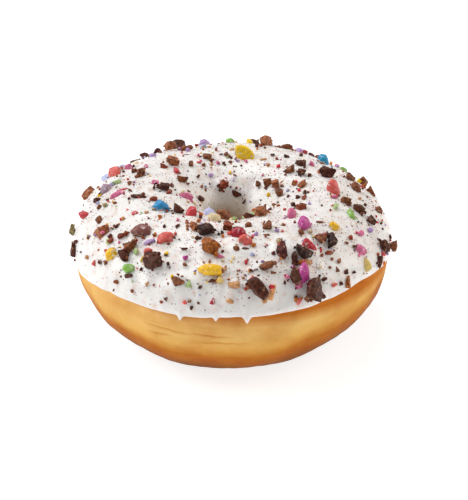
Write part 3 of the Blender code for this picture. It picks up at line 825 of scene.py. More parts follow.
@dataclass(frozen=True)
class FriedCrust:
    """Yeast dough fried in deep fat, floating: pale where it stood out of the fat, brown below.

    The colours by height give the eye the frying line, a little tipped and bent as the ring floated.
    The darker band just under the icing is partly fat-soaked crust and partly painted shade under the icing's
    edge, deepened towards +X, the side away from the key light.
    The mottling is the bubbled skin, the lines are creases of the risen dough with painted shade along their
    bottoms, and the low sheen is fat.
    """

    heights: tuple[tuple[float, str], ...] = (
        (0.0, "#5E2F08"),
        (4.0, "#7A440C"),
        (6.75, "#8F5213"),
        (9.75, "#AF651C"),
        (12.5, "#BC7425"),
        (14.25, "#D29644"),
        (16.0, "#E2AE5C"),
        (19.0, "#E9BB6E"),
        (23.0, "#EBB96E"),
        (28.0, "#F5D098"),
    )
    tip: float = -0.03
    bend: float = -0.0026
    wobble_size: float = 15.0
    wobble: float = 3.0
    # Painted shade under the icing's edge, mixed with fat-soaked crust: a darker band between these heights,
    # stronger towards +X
    under_icing_soak_and_shade: str = "#DFA868"
    under_icing_shade_heights: tuple[float, float] = (22.6, 25.4)
    under_icing_shade_tip: float = 0.062
    # Painted shade along the bottoms of the creases
    crack: str = "#E4C6A2"
    mottle_size: float = 6.0
    mottle_dark: str = "#E0B48C"
    mottle_band: tuple[float, float] = (0.34, 0.6)
    mottle_share: float = 0.4
    pore_size: float = 0.9
    pore_strength: float = 0.22
    pore_depth: float = 0.25
    wrinkle_size: float = 7.0
    wrinkle_flatness: float = 5.0
    wrinkle_strength: float = 0.3
    wrinkle_depth: float = 0.7

    def make(self) -> bpy.types.Material:
        """Makes the material: colour by tipped, wobbled height, the fat soak and painted shade under the
        icing, painted shade along the creases, pores and wrinkles.

        Returns:
            The material.
        """
        values = {
            "Roughness": 0.58,
            "Specular IOR Level": 0.04,
            "Subsurface Weight": 0.08,
            "Subsurface Radius": (1.0, 0.5, 0.2),
            "Subsurface Scale": 0.001,
        }
        material, tree, shader = dressed("fried_yeast_dough_crust", values)
        place = add_node(tree, "TexCoord").outputs["Object"]
        parts = add_node(tree, "SeparateXYZ", links={0: place}).outputs

        def tipped(slope: float, bend: float = 0.0) -> bpy.types.NodeSocket:
            """Adds nodes for a tipped and bent height: Z plus X times the sum of slope and bend times X.

            Args:
                slope: Rise per mm along X.
                bend: How much the slope grows per mm along X.

            Returns:
                The height's socket, in metres.
            """
            steep = {"operation": "MULTIPLY_ADD", 1: bend / MM, 2: slope}
            steepness = add_node(tree, "Math", steep, {0: parts["X"]}).outputs[0]
            added = {0: parts["X"], 1: steepness, 2: parts["Z"]}
            return add_node(tree, "Math", {"operation": "MULTIPLY_ADD"}, added).outputs[0]

        slow = add_node(tree, "TexNoise", {"Scale": per_metre(self.wobble_size)}, {"Vector": place})
        lift = self.wobble * MM
        wobbled = add_node(
            tree,
            "Math",
            {"operation": "MULTIPLY_ADD", 1: lift},
            {0: slow.outputs["Fac"], 2: tipped(self.tip, self.bend)},
        ).outputs[0]
        top = self.heights[-1][0]
        limits = {"From Min": lift / 2, "From Max": lift / 2 + top * MM}
        band = add_node(tree, "MapRange", limits, {"Value": wobbled}).outputs["Result"]
        stops = [(at / top, linear(colour)) for at, colour in self.heights]
        base = add_node(tree, "ValToRGB", {"stops": stops}, {0: band}).outputs["Color"]
        blotch = add_node(
            tree, "TexNoise", {"Scale": per_metre(self.mottle_size), "Detail": 4.0}, {"Vector": place}
        ).outputs["Fac"]
        shades = {"stops": list(zip(self.mottle_band, (linear(self.mottle_dark), grey(1.0))))}
        blotches = add_node(tree, "ValToRGB", shades, {0: blotch}).outputs["Color"]
        blend = {"data_type": "RGBA", "blend_type": "MULTIPLY", 0: self.mottle_share}
        mixed = add_node(tree, "Mix", blend, {6: base, 7: blotches}).outputs[2]
        # Painted shade and fat soak just under the icing, stronger towards +X
        low, high = (height * MM for height in self.under_icing_shade_heights)
        near = add_node(
            tree, "MapRange", {"From Min": low, "From Max": high}, {"Value": tipped(self.under_icing_shade_tip)}
        ).outputs["Result"]
        multiply = {"data_type": "RGBA", "blend_type": "MULTIPLY"}
        soaked_and_shaded = add_node(tree, "Mix", multiply | {7: linear(self.under_icing_soak_and_shade)}, {0: near, 6: mixed}).outputs[2]
        # Painted shade along the creases, from the ring's crease depth
        crease_shading = add_node(tree, "Attribute", {"attribute_name": "crack"}).outputs["Fac"]
        crease_shaded = add_node(tree, "Mix", multiply | {7: linear(self.crack)}, {0: crease_shading, 6: soaked_and_shaded}).outputs[2]
        tree.links.new(crease_shaded, shader.inputs["Base Color"])
        pores = add_node(
            tree, "TexNoise", {"Scale": per_metre(self.pore_size), "Detail": 3.0}, {"Vector": place}
        ).outputs["Fac"]
        flat = {"Scale": (1.0, 1.0, self.wrinkle_flatness)}
        flattened = add_node(tree, "Mapping", flat, {"Vector": place}).outputs[0]
        wrinkles = add_node(
            tree, "TexNoise", {"Scale": per_metre(self.wrinkle_size), "Detail": 3.0}, {"Vector": flattened}
        ).outputs["Fac"]
        relief = {"Strength": self.pore_strength, "Distance": self.pore_depth * MM}
        fine = add_node(tree, "Bump", relief, {"Height": pores})
        relief = {"Strength": self.wrinkle_strength, "Distance": self.wrinkle_depth * MM}
        bump = add_node(tree, "Bump", relief, {"Height": wrinkles, "Normal": fine.outputs[0]})
        tree.links.new(bump.outputs[0], shader.inputs["Normal"])
        return material


@dataclass(frozen=True)
class SetIcing:
    """White icing of sugar and hardened fat, poured warm and set: satin, with light going into it.

    Faint pink and brown stains are dust of the crushed sweets, and give the white its lived-in look.
    Deep in the hole it is darkened by painted shade, partly also the crust's tan showing through the thin
    icing there.
    """

    white: str = "#F0EEEB"
    # Painted shade deep in the hole, partly the crust's tan through thin icing
    thin: str = "#B3A184"
    stain: str = "#DDB59E"
    stain_size: float = 2.6
    stain_band: tuple[float, float] = (0.53, 0.76)
    stain_share: float = 0.62
    grain_size: float = 1.2
    grain_strength: float = 0.12
    grain_depth: float = 0.2

    def make(self) -> bpy.types.Material:
        """Makes the material: white with faint dusty stains, painted shade deep in the hole, and a slight
        unevenness of its set skin.

        Returns:
            The material.
        """
        values = {
            "Roughness": 0.34,
            "Subsurface Weight": 0.25,
            "Subsurface Radius": (1.0, 0.9, 0.85),
            "Subsurface Scale": 0.0012,
        }
        material, tree, shader = dressed("set_white_sugar_icing", values)
        place = add_node(tree, "TexCoord").outputs["Object"]
        dusting = {"Scale": per_metre(self.stain_size), "Detail": 5.0, "Roughness": 0.6}
        dust = add_node(tree, "TexNoise", dusting, {0: place}).outputs["Fac"]
        low, high = self.stain_band
        limits = {"From Min": low, "From Max": high, "To Max": self.stain_share}
        amount = add_node(tree, "MapRange", limits, {"Value": dust}).outputs["Result"]
        blend = {"data_type": "RGBA", 6: linear(self.white), 7: linear(self.stain)}
        dusty = add_node(tree, "Mix", blend, {0: amount}).outputs[2]
        # Painted shade deep in the hole, partly thin icing over the crust
        thinness = add_node(tree, "Attribute", {"attribute_name": "thinness"}).outputs["Fac"]
        over = {"data_type": "RGBA", 7: linear(self.thin)}
        colour = add_node(tree, "Mix", over, {0: thinness, 6: dusty}).outputs[2]
        tree.links.new(colour, shader.inputs["Base Color"])
        grain = add_node(
            tree, "TexNoise", {"Scale": per_metre(self.grain_size), "Detail": 2.0}, {"Vector": place}
        ).outputs["Fac"]
        relief = {"Strength": self.grain_strength, "Distance": self.grain_depth * MM}
        bump = add_node(tree, "Bump", relief, {"Height": grain})
        tree.links.new(bump.outputs[0], shader.inputs["Normal"])
        return material


@dataclass(frozen=True)
class SweetFinish:
    """What every sweet's finish shares: its own colour from the mesh, broken up by light and dark grains.

    The first finish below is chocolate snapped in pieces, the second a boiled-sugar shell polished in
    a turning pan, the third ground wafer and sugar.
    """

    name: str
    roughness: float
    specular: float
    coat: float
    grain_size: float
    darkest: float
    bump: float
    pale: str
    pale_share: float
    grain_band: tuple[float, float] = (0.36, 0.58)
    pale_band: tuple[float, float] = (0.6, 0.68)
    pale_stretch: float = 1.7
    grain_depth: float = 0.3
    coat_roughness: float = 0.18

    def make(self) -> bpy.types.Material:
        """Makes the material: the attribute tint times a grainy grey, with pale grains and a bump.

        Returns:
            The material.
        """
        values = {
            "Roughness": self.roughness,
            "Specular IOR Level": self.specular,
            "Coat Weight": self.coat,
            "Coat Roughness": self.coat_roughness,
        }
        material, tree, shader = dressed(self.name, values)
        tint = add_node(tree, "Attribute", {"attribute_name": "tint"}).outputs["Color"]
        place = add_node(tree, "TexCoord").outputs["Object"]
        grain = add_node(
            tree, "TexNoise", {"Scale": per_metre(self.grain_size), "Detail": 3.0}, {"Vector": place}
        ).outputs["Fac"]
        greys = {"stops": list(zip(self.grain_band, (grey(self.darkest), grey(1.0))))}
        shades = add_node(tree, "ValToRGB", greys, {0: grain}).outputs["Color"]
        blend = {"data_type": "RGBA", "blend_type": "MULTIPLY", 0: 1.0}
        shaded = add_node(tree, "Mix", blend, {6: tint, 7: shades}).outputs[2]
        pale_grains = {"Scale": per_metre(self.grain_size * self.pale_stretch), "Detail": 4.0}
        spots = add_node(tree, "TexNoise", pale_grains, {"Vector": place}).outputs["Fac"]
        low, high = self.pale_band
        limits = {"From Min": low, "From Max": high, "To Max": self.pale_share}
        amount = add_node(tree, "MapRange", limits, {"Value": spots}).outputs["Result"]
        colour = add_node(tree, "Mix", {"data_type": "RGBA", 7: linear(self.pale)}, {0: amount, 6: shaded})
        tree.links.new(colour.outputs[2], shader.inputs["Base Color"])
        relief = {"Strength": self.bump, "Distance": self.grain_depth * MM}
        rough = add_node(tree, "Bump", relief, {"Height": grain})
        tree.links.new(rough.outputs[0], shader.inputs["Normal"])
        return material


# Snapped chocolate: dull broken faces with paler sugar grains, so it looks crumbly and not moulded.
BROKEN_CHOCOLATE = SweetFinish(
    name="broken_milk_and_dark_chocolate",
    roughness=0.4,
    specular=0.22,
    coat=0.0,
    grain_size=0.8,
    darkest=0.3,
    bump=0.8,
    pale="#C99A7C",
    pale_share=0.5,
)
# Panned sugar: strong clean colour under a polished coat, with hairline white where it is chipped.
PANNED_SUGAR = SweetFinish(
    name="polished_panned_sugar_shell",
    roughness=0.4,
    specular=0.4,
    coat=0.25,
    grain_size=0.7,
    darkest=0.74,
    bump=0.5,
    pale="#FBF3F0",
    pale_share=0.55,
)
# Ground wafer and sugar: matt, so the smallest bits read as powdery colour.
GROUND_CRUMB = SweetFinish(
    name="ground_wafer_and_sugar_crumb",
    roughness=0.7,
    specular=0.2,
    coat=0.0,
    grain_size=0.6,
    darkest=0.7,
    bump=0.4,
    pale="#F3E6D2",
    pale_share=0.4,
)


@dataclass(frozen=True)
class WhiteSweep:
    """Matt opal sheet of a product photographer's light table, lit from below: a shadowless pale ground."""

    sheet: str = "#BCBCBC"
    light: str = "#FFFFFF"
    glow: float = 0.8
    # The real tooth is too fine to show in the render, so it is drawn this coarse
    grain_size: float = 0.8
    grain_strength: float = 0.05
    grain_depth: float = 0.05

    def make(self) -> bpy.types.Material:
        """Makes the material: white and lit from below, with the sheet's faint tooth.

        Returns:
            The material.
        """
        values = {"Roughness": 0.9, "Base Color": linear(self.sheet), "Specular IOR Level": 0.0}
        values |= {"Emission Color": linear(self.light), "Emission Strength": self.glow}
        material, tree, shader = dressed("opal_white_light_table", values)
        place = add_node(tree, "TexCoord").outputs["Object"]
        grain = add_node(tree, "TexNoise", {"Scale": per_metre(self.grain_size)}, {"Vector": place})
        relief = {"Strength": self.grain_strength, "Distance": self.grain_depth * MM}
        tooth = add_node(tree, "Bump", relief, {"Height": grain.outputs["Fac"]})
        tree.links.new(tooth.outputs[0], shader.inputs["Normal"])
        return material


@dataclass(frozen=True)
class DoughRing:
    """The fried ring: a closed surface round the hole, with the unevenness and creases of risen dough."""

    form: RingForm
    finish: FriedCrust = FriedCrust()
    columns: int = 480
    upper_rows: int = 16
    under_rows: int = 104
    foot_rows: int = 6
    hole_under_rows: int = 18
    hole_rows: int = 18
    swell: float = 0.3
    swell_size: float = 15.0
    swell_seed: int = 11
    dimple: float = 0.05
    dimple_size: float = 3.5
    dimple_seed: int = 12
    flat_below: float = 3.0
    crease_depth: float = 0.055
    crease_width: float = 0.26
    crease_wave: float = 0.12
    # The waves of a crease's line: how fast each runs, what each next crease starts it by, and its share
    crease_waves: tuple[tuple[float, float, float], ...] = ((4.0, 2.0, 1.0), (11.0, 1.0, 0.5))
    # Creases as bearing and height of the middle, half length in degrees, and tilt in mm over that half
    creases: tuple[tuple[float, float, float, float], ...] = (
        (-120.0, 22.3, 11.0, -0.6),
        (-111.0, 20.4, 9.0, -0.3),
        (-97.0, 20.0, 8.0, -0.3),
        (-113.5, 18.6, 5.0, 0.3),
        (-93.0, 17.8, 9.0, 0.1),
        (-20.0, 17.0, 10.0, -0.5),
        (45.0, 18.5, 12.0, -0.4),
        (62.0, 16.0, 9.0, 0.3),
        (120.0, 19.0, 10.0, 0.5),
        (150.0, 17.0, 12.0, -0.4),
    )

    def crease(self, points: Array) -> Array:
        """How far into a crease each point lies: valleys of Gaussian section along short waved level lines.

        Args:
            points: Places in mm.

        Returns:
            0 clear of the creases to 1 at the bottom of one.
        """
        bearing = np.arctan2(points[..., 1], points[..., 0])
        depth = np.zeros(bearing.shape)
        for number, (middle, height, half, tilt) in enumerate(self.creases):
            along = (bearing - math.radians(middle) + math.pi) % TURN - math.pi
            along = along / math.radians(half)
            waves = sum(
                part * np.sin(along * pace + number * start) for pace, start, part in self.crease_waves
            )
            line = height + tilt * along + self.crease_wave * waves
            fade = np.clip(1 - along**2, 0.0, 1.0)
            depth = np.maximum(depth, fade * np.exp(-(((points[..., 2] - line) / self.crease_width) ** 2)))
        return depth

    def points(self) -> tuple[Array, Array]:
        """The surface: each row of the cross-section carried round the bearings and lifted by the unevenness.

        The section runs from the ridge down the outer side, under the flat foot and up the hole's wall.

        Returns:
            The points in mm, and how far into a crease each lies.
        """
        turns = np.linspace(QUARTER, 0.0, self.upper_rows, endpoint=False)
        outside = np.concatenate((turns, np.linspace(0.0, -QUARTER, self.under_rows)))
        foot = np.linspace(self.form.foot_outer_radius, self.form.foot_inner_radius, self.foot_rows + 2)[1:-1]
        lower = np.linspace(-QUARTER, 0.0, self.hole_under_rows, endpoint=False)
        inside = np.concatenate((lower, np.linspace(0.0, QUARTER, self.hole_rows, endpoint=False)))
        bearings = TURN * np.arange(self.columns) / self.columns

        def carried(lift_out: Array, lift_in: Array) -> Array:
            """Carries the section round the bearings.

            Args:
                lift_out: How far its outer side is moved out, in mm.
                lift_in: How far the hole's wall is.

            Returns:
                Points in mm, (rows, columns, 3).
            """
            sections = (
                self.form.lifted(True, outside[:, None], lift_out),
                np.broadcast_to(np.stack((foot, foot * 0), -1)[:, None], (len(foot), self.columns, 2)),
                self.form.lifted(False, inside[:, None], lift_in),
            )
            return self.form.place(np.concatenate(sections), bearings[None])

        flat_out, flat_in = np.zeros((len(outside), self.columns)), np.zeros((len(inside), self.columns))
        even = carried(flat_out, flat_in)
        swell = self.swell * ripple(even, self.swell_size, self.swell_seed)
        lift = swell + self.dimple * ripple(even, self.dimple_size, self.dimple_seed)
        creased = self.crease(even)
        lift = (lift - self.crease_depth * creased) * np.clip(even[..., 2] / self.flat_below, 0.0, 1.0)
        return carried(lift[: len(outside)], lift[-len(inside) :]), creased

    def build(self) -> bpy.types.Object:
        """Makes the ring and dresses it as fried crust.

        Returns:
            The object.
        """
        points, creased = self.points()
        faces = ring_faces(len(points), self.columns)
        piece = make_piece("fried_ring", points.reshape(-1, 3), [faces])
        # The crease depth is also kept for the crust's painted crease shade
        crease_shading = piece.data.attributes.new("crack", "FLOAT", "POINT")
        crease_shading.data.foreach_set("value", creased.ravel().astype(np.float32))
        piece.data.materials.append(self.finish.make())
        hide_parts("dough")
        return piece


@dataclass(frozen=True)
class IcingCoat:
    """The poured icing: a closed skin over the ring's top half and down into the hole, with drips."""

    form: RingForm
    seats: Array
    finish: SetIcing = SetIcing()
    columns: int = 500
    skin_rows: int = 130
    lip_rows: int = 9
    under_rows: int = 10
    lip: float = 0.032
    tuck: float = 0.25
    thin_edge: float = 0.55
    thin_share: float = 0.07
    flow: float = 0.33
    flow_size: float = 13.0
    flow_seed: int = 31
    pucker: float = 0.12
    pucker_size: float = 3.4
    pucker_seed: int = 32
    ragged: float = 0.12
    ragged_size: float = 7.0
    ragged_seed: int = 21
    least_bearing_step: float = 0.0015
    drip_columns: int = 9
    drip_step: float = 0.18
    drip_reach: float = 0.45
    drip_slimness: float = 0.36
    drip_root: float = 0.06
    mound: float = 0.32
    mound_margin: float = 0.55
    full_mound_length: float = 3.0
    # Share across the icing from which the painted shade deep in the hole begins
    hole_shade_from: float = 0.8
    # The side where the edge ran lowest: its bearing and half width in degrees, and its depth in mm
    low_side: tuple[float, float, float] = (180.0, 34.0, 2.1)
    # Drips as bearing in degrees, width and length in mm, as the solids have them
    drips: tuple[tuple[float, float, float], ...] = (
        (-106.5, 1.6, 2.6),
        (-95.0, 1.4, 2.0),
        (-85.2, 2.0, 3.4),
        (38.0, 2.0, 3.0),
        (131.0, 1.8, 2.6),
    )

    def bearings(self) -> Array:
        """Even bearings, with more of them at each drip so that its point is round.

        Returns:
            Angles from -pi to pi, rising.
        """
        even = TURN * np.arange(self.columns) / self.columns - math.pi
        close = np.arange(-self.drip_columns, self.drip_columns + 1) * self.drip_step / self.form.radius
        extra = np.concatenate([math.radians(degrees) + close for degrees, _, _ in self.drips])
        merged = np.sort(np.concatenate((even, extra)))
        return merged[np.diff(merged, append=merged[0] + TURN) > self.least_bearing_step]

    def sag(self, bearing: Array) -> Array:
        """How far the edge hangs below its usual height, in mm.

        That is short ripples, a wide Gaussian round the low side and a narrow one for each drip.

        Args:
            bearing: Angles round the hole.

        Returns:
            Millimetres.
        """
        ring = np.stack((np.cos(bearing), np.sin(bearing), np.zeros_like(bearing)), -1) * self.form.radius
        middle, half, depth = self.low_side
        from_low = (bearing - math.radians(middle) + math.pi) % TURN - math.pi
        low = depth * np.exp(-((from_low / math.radians(half)) ** 2))
        hang = self.ragged * ripple(ring, self.ragged_size, self.ragged_seed) + low
        for degrees, width, length in self.drips:
            aside = (bearing - math.radians(degrees)) * self.form.radius
            hang = hang + length * self.drip_reach * np.exp(-((aside / (width * self.drip_slimness)) ** 2))
        return hang

    def rows(self) -> tuple[Array, Array]:
        """The closed section as shares and lifts: the skin, a half-round lip, the underside, the other lip.

        A lip's turn t runs from the skin round to the underside: share lip times 1 - sin t, and lift from
        the skin's down to just inside the dough as cos t.

        Returns:
            The shares across the icing and the lifts off the dough in mm.
        """
        full, deep = self.form.skin_lift, -self.tuck
        skin = np.linspace(1 - self.lip, self.lip, self.skin_rows)
        turn = math.pi * np.arange(1, self.lip_rows) / self.lip_rows
        outer = self.lip * (1 - np.sin(turn))
        lifts = (full + deep) / 2 + (full - deep) / 2 * np.cos(turn)
        under = np.linspace(self.lip, 1 - self.lip, self.under_rows)
        share = np.concatenate((skin, outer, under, 1 - outer))
        lift = np.concatenate((np.full(len(skin), full), lifts, np.full(len(under), deep), lifts[::-1]))
        return share, lift

    def mounds(self, points: Array) -> Array:
        """How high the icing is drawn up round the sweets: the largest rise times exp(-(distance / reach)^4).

        Args:
            points: Places in mm.

        Returns:
            Heights in mm.
        """
        height = np.zeros(points.shape[:-1])
        for *middle, length in self.seats:
            reach = length / 2 + self.mound_margin
            away = ((points - middle) ** 2).sum(axis=-1) / reach**2
            rise = self.mound * min(length / self.full_mound_length, 1.0)
            height = np.maximum(height, rise * np.exp(-(away**2)))
        return height

    def skin(self, share: Array, bearing: Array, lift: Array | float) -> Array:
        """Points of the icing, whose outer side is slowly and finely uneven and thinner towards its edges.

        Lift grows by flow times a slow ripple, by pucker times a fine one and by a low mound under each
        sweet, and shrinks by a Gaussian at each edge. The edge's sag fades by a Gaussian of the share.

        Args:
            share: 0 at the outer edge to 1 at the hole's edge.
            bearing: Angles round the hole.
            lift: Distance off the dough before the unevenness, in mm.

        Returns:
            Places in mm.
        """
        hang = self.sag(bearing) * np.exp(-((share / self.drip_root) ** 2))
        lift = np.broadcast_to(lift, np.broadcast_shapes(np.shape(share), np.shape(bearing)))
        even = self.form.icing(share, bearing, lift, hang)
        rise = self.flow * ripple(even, self.flow_size, self.flow_seed)
        rise = rise + self.pucker * ripple(even, self.pucker_size, self.pucker_seed) + self.mounds(even)
        inside = np.minimum(share, 1 - share)
        rise = rise - self.thin_edge * np.exp(-((inside / self.thin_share) ** 2))
        outward = np.clip(lift / self.form.skin_lift, 0.0, 1.0)
        return self.form.icing(share, bearing, lift + rise * outward, hang)

    def build(self) -> bpy.types.Object:
        """Makes the icing and dresses it.

        Returns:
            The object.
        """
        share, lift = self.rows()
        points = self.skin(share[:, None], self.bearings()[None], lift[:, None])
        rows, columns = points.shape[:2]
        piece = make_piece("poured_icing", points.reshape(-1, 3), [ring_faces(rows, columns)])
        # Painted shade deep in the hole, partly thin icing, grows towards the hole's edge
        thinness = np.clip((share - self.hole_shade_from) / (1 - self.hole_shade_from), 0.0, 1.0)
        shade = piece.data.attributes.new("thinness", "FLOAT", "POINT")
        shade.data.foreach_set("value", np.repeat(thinness, columns).astype(np.float32))
        piece.data.materials.append(self.finish.make())
        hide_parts("icing")
        return piece


@dataclass(frozen=True)
class Spots:
    """Where the sweets of one kind lie on the icing, one row of each array for each sweet, in mm."""

    at: Array
    long_way: Array
    out: Array
    length: Array
    width: Array
    tint: Array

    def put(self, local: Array) -> Array:
        """Carries shapes to their spots: the spot plus its long, side and outward ways times x, y and z.

        Args:
            local: Points in mm, (spots, points, 3).

        Returns:
            The same points on the doughnut.
        """
        side = np.cross(self.out, self.long_way)
        ways = np.stack((self.long_way, side, self.out), axis=1)
        return self.at[:, None] + local @ ways

    def parts(self) -> tuple[Array, ...]:
        """The arrays in the order of the fields."""
        return self.at, self.long_way, self.out, self.length, self.width, self.tint

    def pick(self, chosen: Array) -> "Spots":
        """The spots that a mask or a list of numbers picks."""
        return Spots(*(part[chosen] for part in self.parts()))

    def with_more(self, other: "Spots") -> "Spots":
        """These spots followed by others."""
        return Spots(*(np.concatenate(pair) for pair in zip(self.parts(), other.parts())))


@dataclass(frozen=True)
class Lump:
    """A snapped lump: a ball cut by flat breaks with soft edges, crumbly, its flat base sunk in the icing.

    It narrows towards the end that its long way points at, by a share of its own, and its top slopes.
    """

    rows: int = 19
    columns: int = 32
    breaks: int = 9
    break_reach: tuple[float, float] = (0.58, 0.98)
    box_reach: float = 1.02
    crispness: float = 30.0
    crumble: float = 0.06
    crumble_size: float = 0.6
    chips: float = 0.05
    chip_size: float = 0.28
    taper: tuple[float, float] = (0.05, 0.5)
    slope: float = 0.3
    tallness: float = 0.8
    belly: float = 0.55
    sink: float = 0.7
    sink_share: float = 0.8

    def directions(self) -> Array:
        """Unit directions: the lower pole, rows of a ball from bottom to top, and the upper pole.

        Returns:
            The directions, (points, 3).
        """
        polar = -QUARTER + math.pi * np.arange(1, self.rows + 1) / (self.rows + 1)
        around = TURN * np.arange(self.columns) / self.columns
        polar, around = (part.ravel() for part in np.meshgrid(polar, around, indexing="ij"))
        ball = np.stack((np.cos(polar) * np.cos(around), np.cos(polar) * np.sin(around), np.sin(polar)), -1)
        return np.concatenate(([[0.0, 0.0, -1.0]], ball, [[0.0, 0.0, 1.0]]))

    def local(self, count: int, seed: int) -> Array:
        """Balls cut by flat breaks, each with its own: r = (sum of (d.n / h) to the p) to the -1/p.

        Here d is the direction, n a break's normal, h its distance and p the crispness of the edges. The
        result is crumbled by two ripples, made narrower and higher towards one end.

        Args:
            count: How many.
            seed: What the breaks are drawn with.

        Returns:
            Points from -1 to 1, (count, points, 3).
        """
        draw = np.random.default_rng(seed)
        normals = unit(draw.normal(size=(count, self.breaks, 3)))
        heights = draw.uniform(*self.break_reach, (count, self.breaks))
        box = np.broadcast_to(np.concatenate((np.eye(3), -np.eye(3))), (count, 6, 3))
        normals = np.concatenate((normals, box), axis=1)
        heights = np.concatenate((heights, np.full((count, 6), self.box_reach)), axis=1)
        ways = self.directions()
        facing = np.maximum(np.einsum("md,njd->nmj", ways, normals), 0.0) / heights[:, None]
        radius = (facing**self.crispness).sum(-1) ** (-1 / self.crispness)
        apart = np.arange(count)[:, None, None] * RIPPLE_APART
        radius = radius * (1 + self.crumble * ripple(ways[None] + apart, self.crumble_size, seed + 1))
        radius = radius * (1 - self.chips * np.abs(ripple(ways[None] + apart, self.chip_size, seed + 2)))
        shape = ways[None] * radius[..., None]
        narrowing = draw.uniform(*self.taper, (count, 1))
        slope = draw.uniform(-self.slope, self.slope, (count, 1))
        shape[..., 1] *= 1 - narrowing * shape[..., 0]
        shape[..., 2] *= 1 + slope * shape[..., 0]
        return shape / np.abs(shape).max(axis=1, keepdims=True)

    def points(self, spots: Spots, seed: int) -> Array:
        """The lumps on their spots: unit lumps stretched to length, width and height, cut off at the base.

        Args:
            spots: Where they lie.
            seed: What their shapes are drawn with.

        Returns:
            Points in mm, (spots, points, 3).
        """
        shape = self.local(len(spots.at), seed)
        tall = (spots.width * self.tallness)[:, None]
        base = -np.minimum(self.sink, tall * self.sink_share)
        up = np.maximum((shape[..., 2] + self.belly) / (1 + self.belly) * tall, base)
        along = shape[..., 0] * spots.length[:, None] / 2
        across = shape[..., 1] * spots.width[:, None] / 2
        return spots.put(np.stack((along, across, up), axis=-1))

    def build(
        self, name: str, spots: Spots, seed: int, slot: Slot, finish: bpy.types.Material
    ) -> bpy.types.Object:
        """Makes one mesh of all the lumps.

        Args:
            name: The piece's name.
            spots: Where they lie.
            seed: What their shapes are drawn with.
            slot: The record's material slot; not used.
            finish: Their material.

        Returns:
            The object.
        """
        points = self.points(spots, seed)
        count, each = points.shape[:2]
        faces = repeated(capped_faces(self.rows, self.columns), each, count)
        tints = np.repeat(spots.tint, each, axis=0)
        piece = make_piece(name, points.reshape(-1, 3), faces, tints)
        piece.data.materials.append(finish)
        return piece


